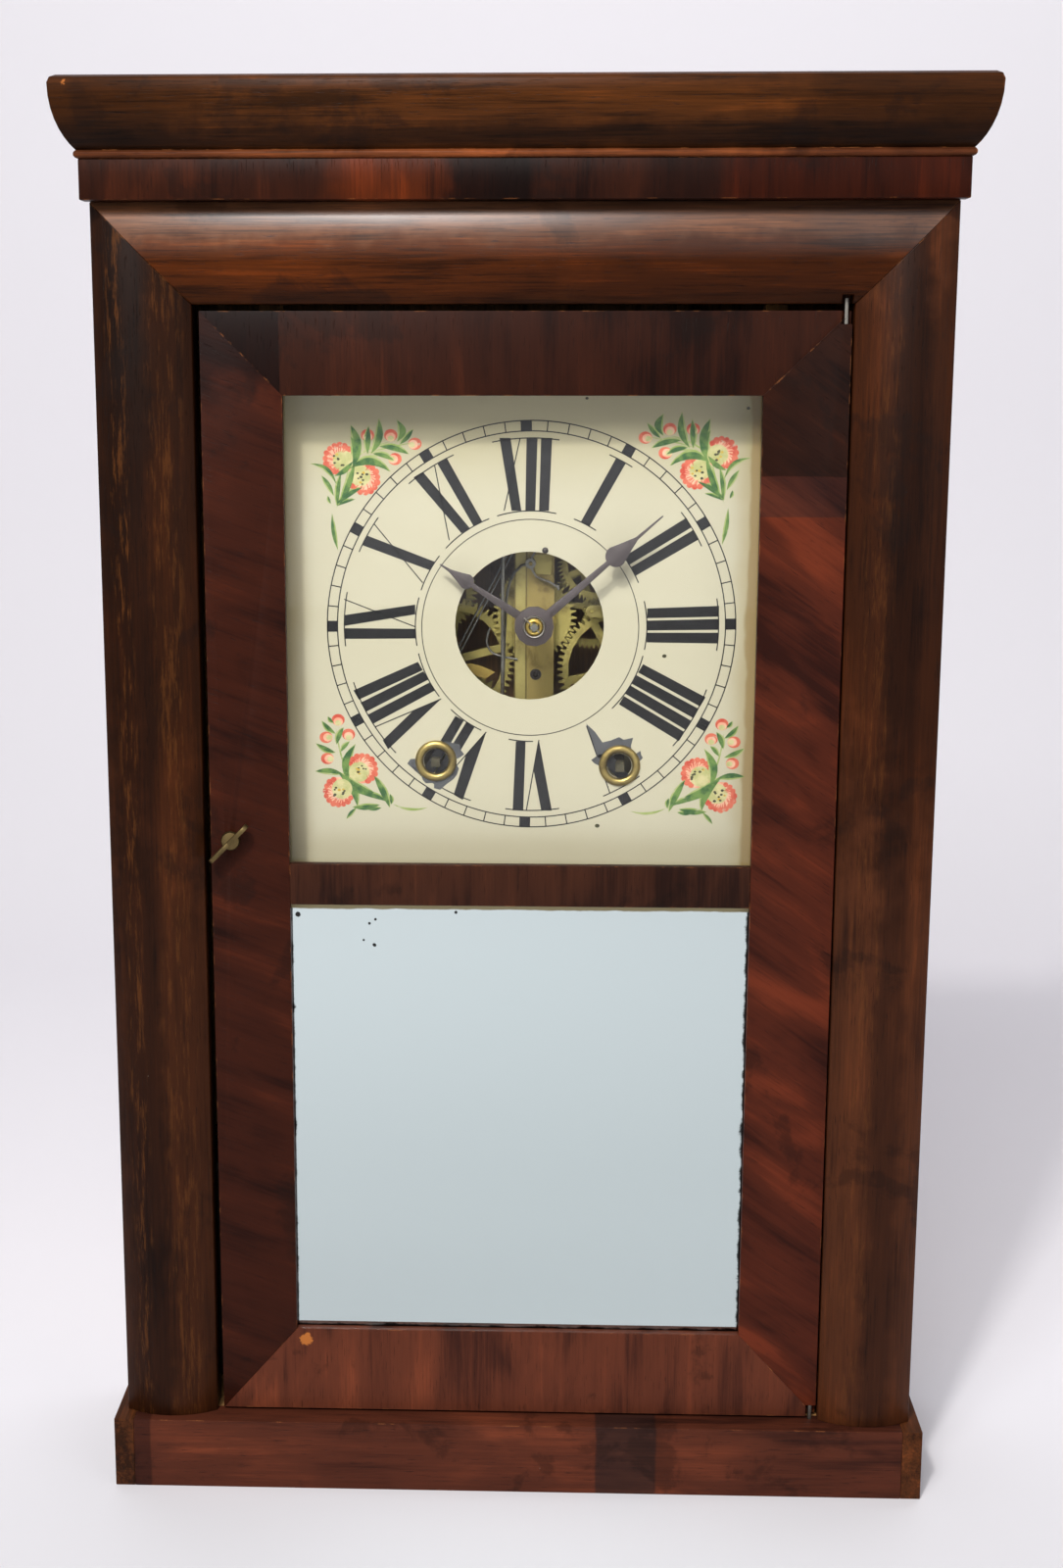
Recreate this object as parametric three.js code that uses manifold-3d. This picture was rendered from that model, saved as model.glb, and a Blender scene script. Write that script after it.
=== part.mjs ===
// Weight-driven shelf clock in a moulded veneered case, with an open-centred painted dial.
// Millimetres. X is to the right, Y to the back, Z up. The origin is on the floor, under the middle.
import * as THREE from 'three';
import { mergeVertices } from 'three/addons/utils/BufferGeometryUtils.js';
import Module from 'manifold-3d';

// ---------------------------------------------------------------- driving dimensions
// Depths are measured back from the case face, the plane of the case mouldings' edges.
const FACE_Y = -40.5;
const CASE_HALF = 197;
const CASE_BACK = 103;
const BOARD = 12;
const BACKBOARD_FRONT = 97;

const BASE_TOP = 36;
const BASE_HALF = 202.3;
const BASE_SIDE = 9.8;
const BASE_FRONT = -11.5;
const BASE_BACK = 5;

const MOULDING_WIDTH = 45.5;
const MOULDING_RISE = 7;
const MOULDING_BACK = 14;
const MOULDING_TOP = 629.5;

const FRIEZE_FRONT = -11.4;
const FRIEZE_HALF = 199.3;
const CORNICE_FOOT = 647.5;
const BEAD_TOP = 651.25;
const BEAD_PROUD = 1.8;
const CORNICE_PROUD = 10.6;
const CORNICE_TOP = 682.6;
const CORNICE_THICK = 18;

const DOOR_FRONT = 1;
const DOOR_BACK = 15;
const DOOR = { left: -148.3, right: 150.6, low: 37.3, high: 581 };
const LIGHT = { left: -110.5, right: 111, midLow: 300.5, midHigh: 320.8, low: 80.6, high: 542.8 };
const REBATE = 5;
const REBATE_FRONT = 6;
const HINGE = { x: 147.8, y: 2.6 };
const LATCH = { x: -138.8, z: 332 };

const DIAL_FRONT = 26;
const DIAL_BACK = 27;
const DIAL_HALF = 124;
const DIAL_LOW = 308;
const DIAL_HIGH = 556;
const DIAL_OPENING = 35.8;
const DIAL_CENTRE = [4.3, 433.35];
const WINDING_HOLE = 6;

// The movement is laid out round its centre arbor. Each place is x and z from that arbor.
const ARBOR_X = 6.6;
const ARBOR_Z = 434.4;
const PLATE = { front: 46, inner: 48, rearInner: 84, rear: 86 };
const PLATE_HALF = 62;
const PLATE_HIGH = 56;
const PLATE_LOW = -94;
const AT = {
  centre: [0, 0],
  timeGreat: [41.9, -69],
  timeSecond: [42.8, -25.9],
  timeThird: [28, 4],
  escape: [30, 26.5],
  strikeGreat: [-47.5, -67.2],
  pinWheel: [-41.1, -22],
  warning: [-47.8, 10.7],
  fly: [-40.8, 30.4],
  count: [-58.5, -10.4],
  minute: [-5.5, 12],
  hammer: [-4.3, -60],
  verge: [-2, 27.6],
  pendulum: [-15.4, 68],
};
const TEETH = {
  great: 64, secondPinion: 8, second: 60, centre: 39, thirdPinion: 6, third: 55, escapePinion: 6,
  escape: 54, warning: 40, flyPinion: 6, count: 48, cannon: 12, minute: 40, minutePinion: 10, hour: 36,
};
const DRUM_RADIUS = 19;
const PENDULUM_LENGTH = 306;
const PULLEY_RADIUS = 16;
const PULLEY_X = 140;
const WEIGHT_X = PULLEY_X + PULLEY_RADIUS;
const WEIGHT_RADIUS = 25;
const WEIGHT_HEIGHT = 118;
const DRIVE_Y = 62;
const GONG = { x: 50, z: 250, y: 91, turns: 3.5, inner: 9, outer: 36 };

// ---------------------------------------------------------------- finishes
const finish = (color, roughness, metalness = 0) => ({ color, roughness, metalness });
const FINISH = {
  walnut: finish(0x4a2d1c, 0.42),
  mahogany: finish(0x552018, 0.38),
  pine: finish(0xb08a58, 0.8),
  brass: finish(0xb09a55, 0.4, 1),
  steel: finish(0x8c8a88, 0.4, 1),
  darkSteel: finish(0x5a484c, 0.6, 0.6),
  iron: finish(0x3c3a38, 0.7, 0.7),
  dialPaint: finish(0xddd8bc, 0.6),
  glass: finish(0xeef4f2, 0.05),
  mirror: finish(0xc0cccc, 0.08, 1),
};

// ---------------------------------------------------------------- joining and cutting
const wasm = await Module();
wasm.setup();

function asSolid(geometry) {
  const bare = geometry.clone();
  bare.deleteAttribute('normal');
  bare.deleteAttribute('uv');
  const merged = mergeVertices(bare, 1e-4);
  return new wasm.Manifold(new wasm.Mesh({
    numProp: 3,
    vertProperties: merged.attributes.position.array,
    triVerts: new Uint32Array(merged.index.array),
  }));
}

function asGeometry(solid) {
  const mesh = solid.getMesh();
  const geometry = new THREE.BufferGeometry();
  geometry.setAttribute('position', new THREE.BufferAttribute(mesh.vertProperties, 3));
  geometry.setIndex(new THREE.BufferAttribute(mesh.triVerts, 1));
  const faces = geometry.toNonIndexed();
  faces.computeVertexNormals();
  return faces;
}

function join(...pieces) {
  return asGeometry(pieces.map(asSolid).reduce((whole, piece) => whole.add(piece)));
}

function cut(body, ...tools) {
  return asGeometry(tools.map(asSolid).reduce((whole, tool) => whole.subtract(tool), asSolid(body)));
}

// ---------------------------------------------------------------- simple forms
function box(x0, x1, y0, y1, z0, z1) {
  const solid = new THREE.BoxGeometry(x1 - x0, y1 - y0, z1 - z0);
  return solid.translate((x0 + x1) / 2, (y0 + y1) / 2, (z0 + z1) / 2);
}

// A shape drawn in X and Z, as seen from the front, given a thickness from one depth to another.
function slab(shape, front, back) {
  const options = { depth: back - front, bevelEnabled: false, curveSegments: 6 };
  const solid = new THREE.ExtrudeGeometry(shape, options);
  return solid.rotateX(Math.PI / 2).translate(0, back, 0);
}

// A form turned on an arbor that runs along Y. The profile is radius and depth, from front to back.
function turned(profile, sides = 12) {
  return new THREE.LatheGeometry(profile.map(([r, y]) => new THREE.Vector2(r, y)), sides);
}

function rod(radius, front, back, sides = 8) {
  return turned([[0, front], [radius, front], [radius, back], [0, back]], sides);
}

function upright(radius, low, high, sides = 8) {
  return rod(radius, low, high, sides).rotateX(Math.PI / 2);
}

function drill([x, z], radius, front, back, sides = 8) {
  return rod(radius, front, back, sides).translate(x, 0, z);
}

function outline(points) {
  return new THREE.Shape(points.map(([x, z]) => new THREE.Vector2(x, z)));
}

function disc(radius) {
  const shape = new THREE.Shape();
  shape.absarc(0, 0, radius, 0, 2 * Math.PI, false);
  return shape;
}

// Wire of round section along a smooth curve through a few points.
function wire(points, radius, steps, sides = 5) {
  const path = new THREE.CatmullRomCurve3(points.map((p) => new THREE.Vector3(...p)));
  const section = new THREE.Shape();
  for (let i = 0; i < sides; i += 1) {
    const angle = (2 * Math.PI * i) / sides;
    section[i ? 'lineTo' : 'moveTo'](radius * Math.cos(angle), radius * Math.sin(angle));
  }
  return new THREE.ExtrudeGeometry(section, { steps, extrudePath: path, bevelEnabled: false });
}

// A length of moulding: one section, with each end placed by a function of the section's own
// coordinates, so that an end can be square or mitred.
function stick(section, startAt, endAt) {
  const solid = new THREE.ExtrudeGeometry(section, { depth: 1, bevelEnabled: false });
  const place = solid.attributes.position;
  for (let i = 0; i < place.count; i += 1) {
    const end = place.getZ(i) < 0.5 ? startAt : endAt;
    place.setXYZ(i, ...end(place.getX(i), place.getY(i)));
  }
  solid.computeVertexNormals();
  return solid;
}

// ---------------------------------------------------------------- wheels and pinions
const TAU = 2 * Math.PI;

function apart(a, b) {
  return Math.hypot(b[0] - a[0], b[1] - a[1]);
}

function meshModule(a, b, teethA, teethB) {
  return (2 * apart(a, b)) / (teethA + teethB);
}

// The angle of a tooth of the driven piece, so that its teeth stand in the driver's gaps.
function meshPhase(a, b, teethA, teethB, phaseA) {
  const along = Math.atan2(b[1] - a[1], b[0] - a[0]);
  const part = (along - phaseA) / (TAU / teethA);
  return along + Math.PI - (0.5 - part) * (TAU / teethB);
}

function polar(radius, angle) {
  return new THREE.Vector2(radius * Math.cos(angle), radius * Math.sin(angle));
}

function arc(radius, from, to, steps) {
  return Array.from({ length: steps + 1 }, (_, i) => polar(radius, from + ((to - from) * i) / steps));
}

// Each tooth is given by its corners: radius in modules from the pitch circle, and share of the pitch.
const WHEEL_TOOTH = [[-1.9, -0.5], [1.05, -0.08], [1.05, 0.08]];
const SQUARE_TOOTH = [[-1.6, -0.3], [1, -0.12], [1, 0.12], [-1.6, 0.3]];
const POINTED_TOOTH = [[-1.9, -0.5], [1, 0]];
const LEAF = [[-1.6, -0.17], [0.75, -0.08], [0.75, 0.08], [-1.6, 0.17]];

function toothed(teeth, module, phase, corners = WHEEL_TOOTH) {
  const pitch = TAU / teeth;
  const points = [];
  for (let i = 0; i < teeth; i += 1) {
    corners.forEach(([height, share]) => {
      points.push(polar((teeth / 2 + height) * module, phase + (i + share) * pitch));
    });
  }
  return new THREE.Shape(points);
}

// Windows between the spokes of a crossed-out wheel.
function crossOut(shape, hub, rim, spokes, width, turn = 0) {
  const outer = Math.asin(width / 2 / rim);
  const inner = Math.asin(width / 2 / hub);
  for (let i = 0; i < spokes; i += 1) {
    const from = turn + (i * TAU) / spokes;
    const to = from + TAU / spokes;
    shape.holes.push(new THREE.Path([
      ...arc(rim, from + outer, to - outer, 4), ...arc(hub, to - inner, from + inner, 2),
    ]));
  }
  return shape;
}

const PIVOT = 0.9;
const PIVOT_HOLE = 1.06;
const SHOULDER = 0.3;

function pivoted(radius) {
  const front = PLATE.inner + SHOULDER;
  const back = PLATE.rearInner - SHOULDER;
  return turned([
    [0, PLATE.front], [PIVOT, PLATE.front], [PIVOT, front], [radius, front],
    [radius, back], [PIVOT, back], [PIVOT, PLATE.rear], [0, PLATE.rear],
  ], 8);
}

// ---------------------------------------------------------------- the assembly
const clock = new THREE.Group();
clock.position.y = FACE_Y;
const movement = new THREE.Group();
movement.position.set(ARBOR_X, 0, ARBOR_Z);
clock.add(movement);

function add(group, name, geometry, look, [x, z] = [0, 0]) {
  const mesh = new THREE.Mesh(geometry, new THREE.MeshStandardMaterial(FINISH[look]));
  mesh.name = name;
  mesh.position.set(x, 0, z);
  group.add(mesh);
}

const SIDES = [['left', -1], ['right', 1]];

// ---- base
const PIN_SEAT = 6;
add(clock, 'base_front', cut(
  box(BASE_SIDE - BASE_HALF, BASE_HALF - BASE_SIDE, BASE_FRONT, BASE_BACK, 0, BASE_TOP),
  upright(1.25, BASE_TOP - PIN_SEAT, BASE_TOP + 1, 10).translate(HINGE.x, HINGE.y, 0),
), 'mahogany');
SIDES.forEach(([side, sign]) => {
  const edges = [sign * (BASE_HALF - BASE_SIDE), sign * BASE_HALF].sort((a, b) => a - b);
  add(clock, `base_side_${side}`, box(...edges, BASE_FRONT, CASE_BACK, 0, BASE_TOP), 'walnut');
});
add(clock, 'bottom_board', box(
  BASE_SIDE - BASE_HALF, BASE_HALF - BASE_SIDE, BASE_BACK, CASE_BACK, BASE_TOP - BOARD, BASE_TOP,
), 'pine');

// ---- case box
SIDES.forEach(([side, sign]) => {
  const edges = [sign * (CASE_HALF - BOARD), sign * CASE_HALF].sort((a, b) => a - b);
  add(clock, `side_board_${side}`, box(...edges, MOULDING_BACK, CASE_BACK, BASE_TOP, CORNICE_FOOT), 'walnut');
});
const INSIDE = CASE_HALF - BOARD;
const TOP_BOARD_LOW = CORNICE_FOOT - BOARD;
const slots = SIDES.map(([, sign]) => box(
  sign * PULLEY_X - PULLEY_RADIUS - 2, sign * PULLEY_X + PULLEY_RADIUS + 2,
  DRIVE_Y - 5.5, DRIVE_Y + 5.5, TOP_BOARD_LOW - 1, CORNICE_FOOT + 1,
));
add(clock, 'top_board', cut(
  box(-INSIDE, INSIDE, MOULDING_BACK, CASE_BACK, TOP_BOARD_LOW, CORNICE_FOOT), ...slots,
), 'pine');
add(clock, 'backboard', box(-INSIDE, INSIDE, BACKBOARD_FRONT, CASE_BACK, BASE_TOP, TOP_BOARD_LOW), 'pine');

// ---- flattened half-round case mouldings, mitred at the top corners
function mouldingSection() {
  const half = MOULDING_WIDTH / 2;
  const radius = (half * half + MOULDING_RISE * MOULDING_RISE) / (2 * MOULDING_RISE);
  const open = Math.asin(half / radius);
  const arcs = 8;
  const points = [[0, -MOULDING_BACK], [MOULDING_WIDTH, -MOULDING_BACK]];
  for (let i = 0; i <= arcs; i += 1) {
    const angle = open - (2 * open * i) / arcs;
    points.push([half + radius * Math.sin(angle), radius * Math.cos(angle) - (radius - MOULDING_RISE)]);
  }
  return outline(points);
}
add(clock, 'moulding_left', stick(
  mouldingSection(),
  (across, out) => [across - CASE_HALF, -out, MOULDING_TOP - across],
  (across, out) => [across - CASE_HALF, -out, BASE_TOP],
), 'walnut');
add(clock, 'moulding_right', stick(
  mouldingSection(),
  (across, out) => [CASE_HALF - across, -out, BASE_TOP],
  (across, out) => [CASE_HALF - across, -out, MOULDING_TOP - across],
), 'walnut');
const topMoulding = stick(
  mouldingSection(),
  (across, out) => [CASE_HALF - across, -out, MOULDING_TOP - across],
  (across, out) => [across - CASE_HALF, -out, MOULDING_TOP - across],
);
const pinNotch = box(HINGE.x - 2.5, HINGE.x + 2.5, -3, 7, DOOR.high + 1, DOOR.high + 7);
add(clock, 'moulding_top', cut(topMoulding, pinNotch), 'walnut');

// ---- frieze board, stepped back behind the case face so that its ends stand proud
const friezePlan = outline([
  [-CASE_HALF, -MOULDING_BACK], [CASE_HALF, -MOULDING_BACK], [CASE_HALF, 0], [FRIEZE_HALF, 0],
  [FRIEZE_HALF, -FRIEZE_FRONT], [-FRIEZE_HALF, -FRIEZE_FRONT], [-FRIEZE_HALF, 0], [-CASE_HALF, 0],
]);
add(clock, 'frieze_board', stick(
  friezePlan,
  (x, out) => [x, -out, CORNICE_FOOT],
  (x, out) => [x, -out, MOULDING_TOP],
), 'mahogany');

// ---- cornice with its bead, mitred round the ends
function corniceSection() {
  const shape = new THREE.Shape();
  const foot = CORNICE_FOOT;
  const beadRadius = (BEAD_TOP - foot) / 2;
  shape.moveTo(-CORNICE_THICK, foot);
  shape.lineTo(0, foot);
  for (let i = 1; i < 5; i += 1) {
    const angle = -Math.PI / 2 + (Math.PI * i) / 5;
    shape.lineTo(BEAD_PROUD * Math.cos(angle), foot + beadRadius * (1 + Math.sin(angle)));
  }
  shape.lineTo(0.5, BEAD_TOP);
  const cyma = new THREE.CubicBezierCurve(
    new THREE.Vector2(0.8, BEAD_TOP), new THREE.Vector2(5.6, BEAD_TOP + 4.6),
    new THREE.Vector2(CORNICE_PROUD, BEAD_TOP + 14), new THREE.Vector2(CORNICE_PROUD, CORNICE_TOP - 3.6),
  );
  cyma.getPoints(7).forEach((p) => shape.lineTo(p.x, p.y));
  shape.lineTo(CORNICE_PROUD - 1, CORNICE_TOP - 1.1);
  shape.lineTo(CORNICE_PROUD - 3.2, CORNICE_TOP);
  shape.lineTo(-CORNICE_THICK, CORNICE_TOP);
  return shape;
}
add(clock, 'cornice_front', stick(
  corniceSection(),
  (out, z) => [FRIEZE_HALF + out, FRIEZE_FRONT - out, z],
  (out, z) => [-FRIEZE_HALF - out, FRIEZE_FRONT - out, z],
), 'walnut');
add(clock, 'cornice_return_left', stick(
  corniceSection(),
  (out, z) => [-FRIEZE_HALF - out, FRIEZE_FRONT - out, z],
  (out, z) => [-FRIEZE_HALF - out, CASE_BACK, z],
), 'walnut');
add(clock, 'cornice_return_right', stick(
  corniceSection(),
  (out, z) => [FRIEZE_HALF + out, CASE_BACK, z],
  (out, z) => [FRIEZE_HALF + out, FRIEZE_FRONT - out, z],
), 'walnut');

// ---- strips that the dial is pinned to, and rails that carry the movement
SIDES.forEach(([side, sign]) => {
  const strip = [sign * (DIAL_HALF - 10), sign * DIAL_HALF].sort((a, b) => a - b);
  add(clock, `dial_strip_${side}`, box(...strip, DIAL_BACK, 41, BASE_TOP, TOP_BOARD_LOW), 'pine');
  const rail = ARBOR_X + sign * 48;
  add(clock, `movement_rail_${side}`, box(rail - 7, rail + 7, PLATE.rear, BACKBOARD_FRONT, 310, 520), 'pine');
});

// ---- door frame, rebated for its glass and mirror
const rebates = [[LIGHT.midHigh, LIGHT.high], [LIGHT.low, LIGHT.midLow]].map(([low, high]) => box(
  LIGHT.left - REBATE, LIGHT.right + REBATE, REBATE_FRONT, DOOR_BACK + 1, low - REBATE, high + REBATE,
));
function doorPiece(points, ...holes) {
  return cut(slab(outline(points), DOOR_FRONT, DOOR_BACK), ...rebates, ...holes);
}
const pinHole = (low, high) => upright(1.25, low, high, 10).translate(HINGE.x, HINGE.y, 0);
const hingeNotch = (low, high) => box(HINGE.x - 2.2, DOOR.right + 1, -1, HINGE.y + 2.4, low, high);
const NOTCH = 6;
const PIN_DEPTH = 15;
add(clock, 'door_stile_left', doorPiece(
  [[DOOR.left, DOOR.low], [LIGHT.left, LIGHT.low], [LIGHT.left, LIGHT.high], [DOOR.left, DOOR.high]],
  drill([LATCH.x, LATCH.z], 2.5, 0, 20),
), 'mahogany');
add(clock, 'door_stile_right', doorPiece(
  [[LIGHT.right, LIGHT.low], [DOOR.right, DOOR.low], [DOOR.right, DOOR.high], [LIGHT.right, LIGHT.high]],
  hingeNotch(DOOR.high - NOTCH, DOOR.high + 1), pinHole(DOOR.high - PIN_DEPTH, DOOR.high),
  hingeNotch(DOOR.low - 1, DOOR.low + NOTCH), pinHole(DOOR.low, DOOR.low + PIN_DEPTH),
), 'mahogany');
add(clock, 'door_rail_top', doorPiece(
  [[LIGHT.left, LIGHT.high], [LIGHT.right, LIGHT.high], [DOOR.right, DOOR.high], [DOOR.left, DOOR.high]],
  hingeNotch(DOOR.high - NOTCH, DOOR.high + 1),
), 'mahogany');
add(clock, 'door_rail_middle', doorPiece(
  [
    [LIGHT.left, LIGHT.midLow], [LIGHT.right, LIGHT.midLow],
    [LIGHT.right, LIGHT.midHigh], [LIGHT.left, LIGHT.midHigh],
  ],
), 'mahogany');
add(clock, 'door_rail_bottom', doorPiece(
  [[DOOR.left, DOOR.low], [DOOR.right, DOOR.low], [LIGHT.right, LIGHT.low], [LIGHT.left, LIGHT.low]],
  hingeNotch(DOOR.low - 1, DOOR.low + NOTCH),
), 'mahogany');
const PANE = REBATE - 0.4;
function pane(low, high, front, back) {
  return box(LIGHT.left - PANE, LIGHT.right + PANE, front, back, low - PANE, high + PANE);
}
add(clock, 'door_glass', pane(LIGHT.midHigh, LIGHT.high, REBATE_FRONT, REBATE_FRONT + 2), 'glass');
add(clock, 'mirror', pane(LIGHT.low, LIGHT.midLow, REBATE_FRONT, REBATE_FRONT + 2.5), 'mirror');
add(clock, 'mirror_backing', pane(LIGHT.low, LIGHT.midLow, REBATE_FRONT + 2.5, DOOR_BACK - 2), 'pine');

// ---- wire hinge pins
function hingePin(low, high) {
  return upright(1, low, high).translate(HINGE.x, HINGE.y, 0);
}
add(clock, 'hinge_pin_top', hingePin(DOOR.high - PIN_DEPTH + 1, DOOR.high + 5.5), 'steel');
add(clock, 'hinge_pin_bottom', hingePin(BASE_TOP - PIN_SEAT + 0.5, DOOR.low + PIN_DEPTH - 1), 'steel');

// ---- thumb latch: a flat finger piece on a spindle, with a tongue behind the door
function latch() {
  const finger = new THREE.Shape();
  const half = 12.4;
  finger.moveTo(-3, 0);
  finger.lineTo(3, 0);
  finger.quadraticCurveTo(5, 3, half - 2, 3);
  finger.absarc(half - 3, 6.5, 3.5, -Math.PI / 2, Math.PI / 2, false);
  finger.quadraticCurveTo(4, 10.5, 0, 8.5);
  finger.quadraticCurveTo(-4, 10.5, 3 - half, 10);
  finger.absarc(3 - half, 6.5, 3.5, Math.PI / 2, 1.5 * Math.PI, false);
  finger.quadraticCurveTo(-5, 3, -3, 0);
  const thickness = 2;
  const piece = new THREE.ExtrudeGeometry(finger, { depth: thickness, bevelEnabled: false, curveSegments: 4 });
  piece.translate(0, 0, -thickness / 2).rotateX(Math.PI).translate(0, 0.6, 0).rotateY(-Math.PI / 4);
  const spindle = turned([
    [0, -0.8], [4.2, -0.8], [4.8, 0.6], [4.8, DOOR_FRONT - 0.1],
    [2.1, DOOR_FRONT - 0.1], [2.1, DOOR_BACK + 0.3],
    [5, DOOR_BACK + 0.3], [5, DOOR_BACK + 2.3], [0, DOOR_BACK + 2.3],
  ]);
  const tongue = slab(outline([[-4, 0], [4, 0], [3.2, 17], [-3.2, 17]]), DOOR_BACK + 0.3, DOOR_BACK + 2.3);
  return join(piece, spindle, tongue);
}
add(clock, 'latch', latch(), 'brass', [LATCH.x, LATCH.z]);

// ---- dial
const dialHoles = [
  drill(DIAL_CENTRE, DIAL_OPENING, DIAL_FRONT - 1, DIAL_BACK + 1, 48),
  ...[AT.timeGreat, AT.strikeGreat].map(([x, z]) => drill(
    [ARBOR_X + x, ARBOR_Z + z], WINDING_HOLE, DIAL_FRONT - 1, DIAL_BACK + 1, 20,
  )),
];
add(clock, 'dial', cut(
  box(-DIAL_HALF, DIAL_HALF, DIAL_FRONT, DIAL_BACK, DIAL_LOW, DIAL_HIGH), ...dialHoles,
), 'dialPaint');

// ---- movement plates, cut away to straps, with an arm and a boss for each arbor
const STRAP = { left: -9.8, right: 9.6, side: 12, top: 44, bottom: -60 };
const ARM = 3;
const reach = {
  timeSecond: PLATE_HALF - STRAP.side, timeThird: PLATE_HALF - STRAP.side, escape: PLATE_HALF - STRAP.side,
  pinWheel: STRAP.side - PLATE_HALF, warning: STRAP.side - PLATE_HALF, fly: STRAP.side - PLATE_HALF,
};
function plate(front, back) {
  const arms = Object.entries(reach).flatMap(([key, from]) => {
    const [x, z] = AT[key];
    const [left, right] = [x, from].sort((a, b) => a - b);
    return [box(left, right + 0.01, front, back, z - ARM, z + ARM), drill([x, z], ARM, front, back)];
  });
  const windows = [
    box(STRAP.side - PLATE_HALF, STRAP.left, front - 1, back + 1, STRAP.bottom, STRAP.top),
    box(STRAP.right, PLATE_HALF - STRAP.side, front - 1, back + 1, STRAP.bottom, STRAP.top),
  ];
  const blank = box(-PLATE_HALF, PLATE_HALF, front, back, PLATE_LOW, PLATE_HIGH);
  const pivots = [...Object.keys(reach), 'hammer'].map((key) => (
    drill(AT[key], PIVOT_HOLE, front - 1, back + 1)
  ));
  return cut(join(cut(blank, ...windows), ...arms), ...pivots);
}
const PILLARS = [[-56, 50], [56, 50], [0.5, -89]];
const WINDING_ARBOR = 3;
const HOUR_PIPE = 4;
const MINUTE_STUD = 1.1;
const vergePin = rod(PIVOT, 40, PLATE.front + 1).translate(AT.verge[0], 0, AT.verge[1]);
const COLLAR = { radius: 1.9, front: 53.15, back: 53.9 };
const minuteStud = turned([
  [0, PLATE.front + 1], [MINUTE_STUD, PLATE.front + 1], [MINUTE_STUD, COLLAR.front],
  [COLLAR.radius, COLLAR.front], [COLLAR.radius, COLLAR.back], [0, COLLAR.back],
]).translate(AT.minute[0], 0, AT.minute[1]);
add(movement, 'front_plate', join(cut(
  plate(PLATE.front, PLATE.inner),
  drill(AT.centre, HOUR_PIPE + 0.35, 40, 50, 16),
  drill(AT.timeGreat, WINDING_ARBOR + 0.3, 40, 50, 12),
  drill(AT.strikeGreat, WINDING_ARBOR + 0.3, 40, 50, 12),
  ...PILLARS.map((at) => drill(at, 1.7, 40, 50)),
), vergePin, minuteStud), 'brass');
const pillars = PILLARS.map(([x, z]) => turned([
  [0, PLATE.front], [1.4, PLATE.front], [1.4, PLATE.inner + 0.1], [3.5, PLATE.inner + 0.1],
  [3.5, PLATE.rearInner + 1], [0, PLATE.rearInner + 1],
], 10).translate(x, 0, z));
const CENTRE_ARBOR = 2.2;
const COUNT_STUD = 1.5;
const countStud = rod(COUNT_STUD, 60.5, PLATE.rearInner + 1).translate(AT.count[0], 0, AT.count[1]);
add(movement, 'back_plate', join(cut(
  plate(PLATE.rearInner, PLATE.rear),
  drill(AT.centre, PIVOT_HOLE, 80, 90),
  drill(AT.timeGreat, PIVOT_HOLE + 0.7, 80, 90),
  drill(AT.strikeGreat, PIVOT_HOLE + 0.7, 80, 90),
), ...pillars, countStud), 'brass');

// ---- suspension post
const [PX, PZ] = AT.pendulum;
add(movement, 'suspension_post', cut(
  join(
    box(PX - 3.5, PX + 3.5, PLATE.front - 3, PLATE.front, 45, PZ + 4),
    box(PX - 3.5, PX + 3.5, 34, PLATE.front - 3, PZ - 3, PZ + 4),
  ),
  box(PX - 0.6, PX + 0.6, 33, 41.5, PZ - 4, PZ + 5),
), 'brass');

// ---- layers of the movement, from front to back
const LAYER = {
  hour: [49, 50.4], minute: [51.6, 53], minutePinion: [48.6, 51.6], cannon: [51.2, 53.4], second: [54.6, 56.2],
  pins: [56.5, 57.9], count: [62.6, 64.1], third: [66, 67.4], great: [76, 78.4], secondPinion: [74.6, 79.8],
};
const leafRange = ([front, back], extra = 1) => [front - extra, back + extra];

// Modules and phases: each follows from the distance between the arbors and the piece it meshes with.
const great = TEETH.great;
const moduleTime = meshModule(AT.timeGreat, AT.timeSecond, great, TEETH.secondPinion);
const moduleStrike = meshModule(AT.strikeGreat, AT.pinWheel, great, TEETH.secondPinion);
const moduleSecond = meshModule(AT.timeSecond, AT.centre, TEETH.second, TEETH.centre);
const modulePin = meshModule(AT.pinWheel, AT.warning, TEETH.second, TEETH.thirdPinion);
const moduleThird = meshModule(AT.timeThird, AT.escape, TEETH.third, TEETH.escapePinion);
const moduleWarning = meshModule(AT.warning, AT.fly, TEETH.warning, TEETH.flyPinion);
const moduleCount = meshModule(AT.pinWheel, AT.count, TEETH.secondPinion, TEETH.count);
const moduleMinute = meshModule(AT.centre, AT.minute, TEETH.cannon, TEETH.minute);
const moduleHour = meshModule(AT.minute, AT.centre, TEETH.minutePinion, TEETH.hour);

function wheel(teeth, module, phase, layer, spokes, corners = WHEEL_TOOTH) {
  const shape = toothed(teeth, module, phase, corners);
  const root = (teeth / 2 + corners[0][0]) * module;
  if (spokes) crossOut(shape, spokes.hub, root - spokes.rim, spokes.count, spokes.width, spokes.turn);
  return slab(shape, ...layer);
}

function pinion(leaves, module, phase, layer) {
  return slab(toothed(leaves, module, phase, LEAF), ...layer);
}

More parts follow.
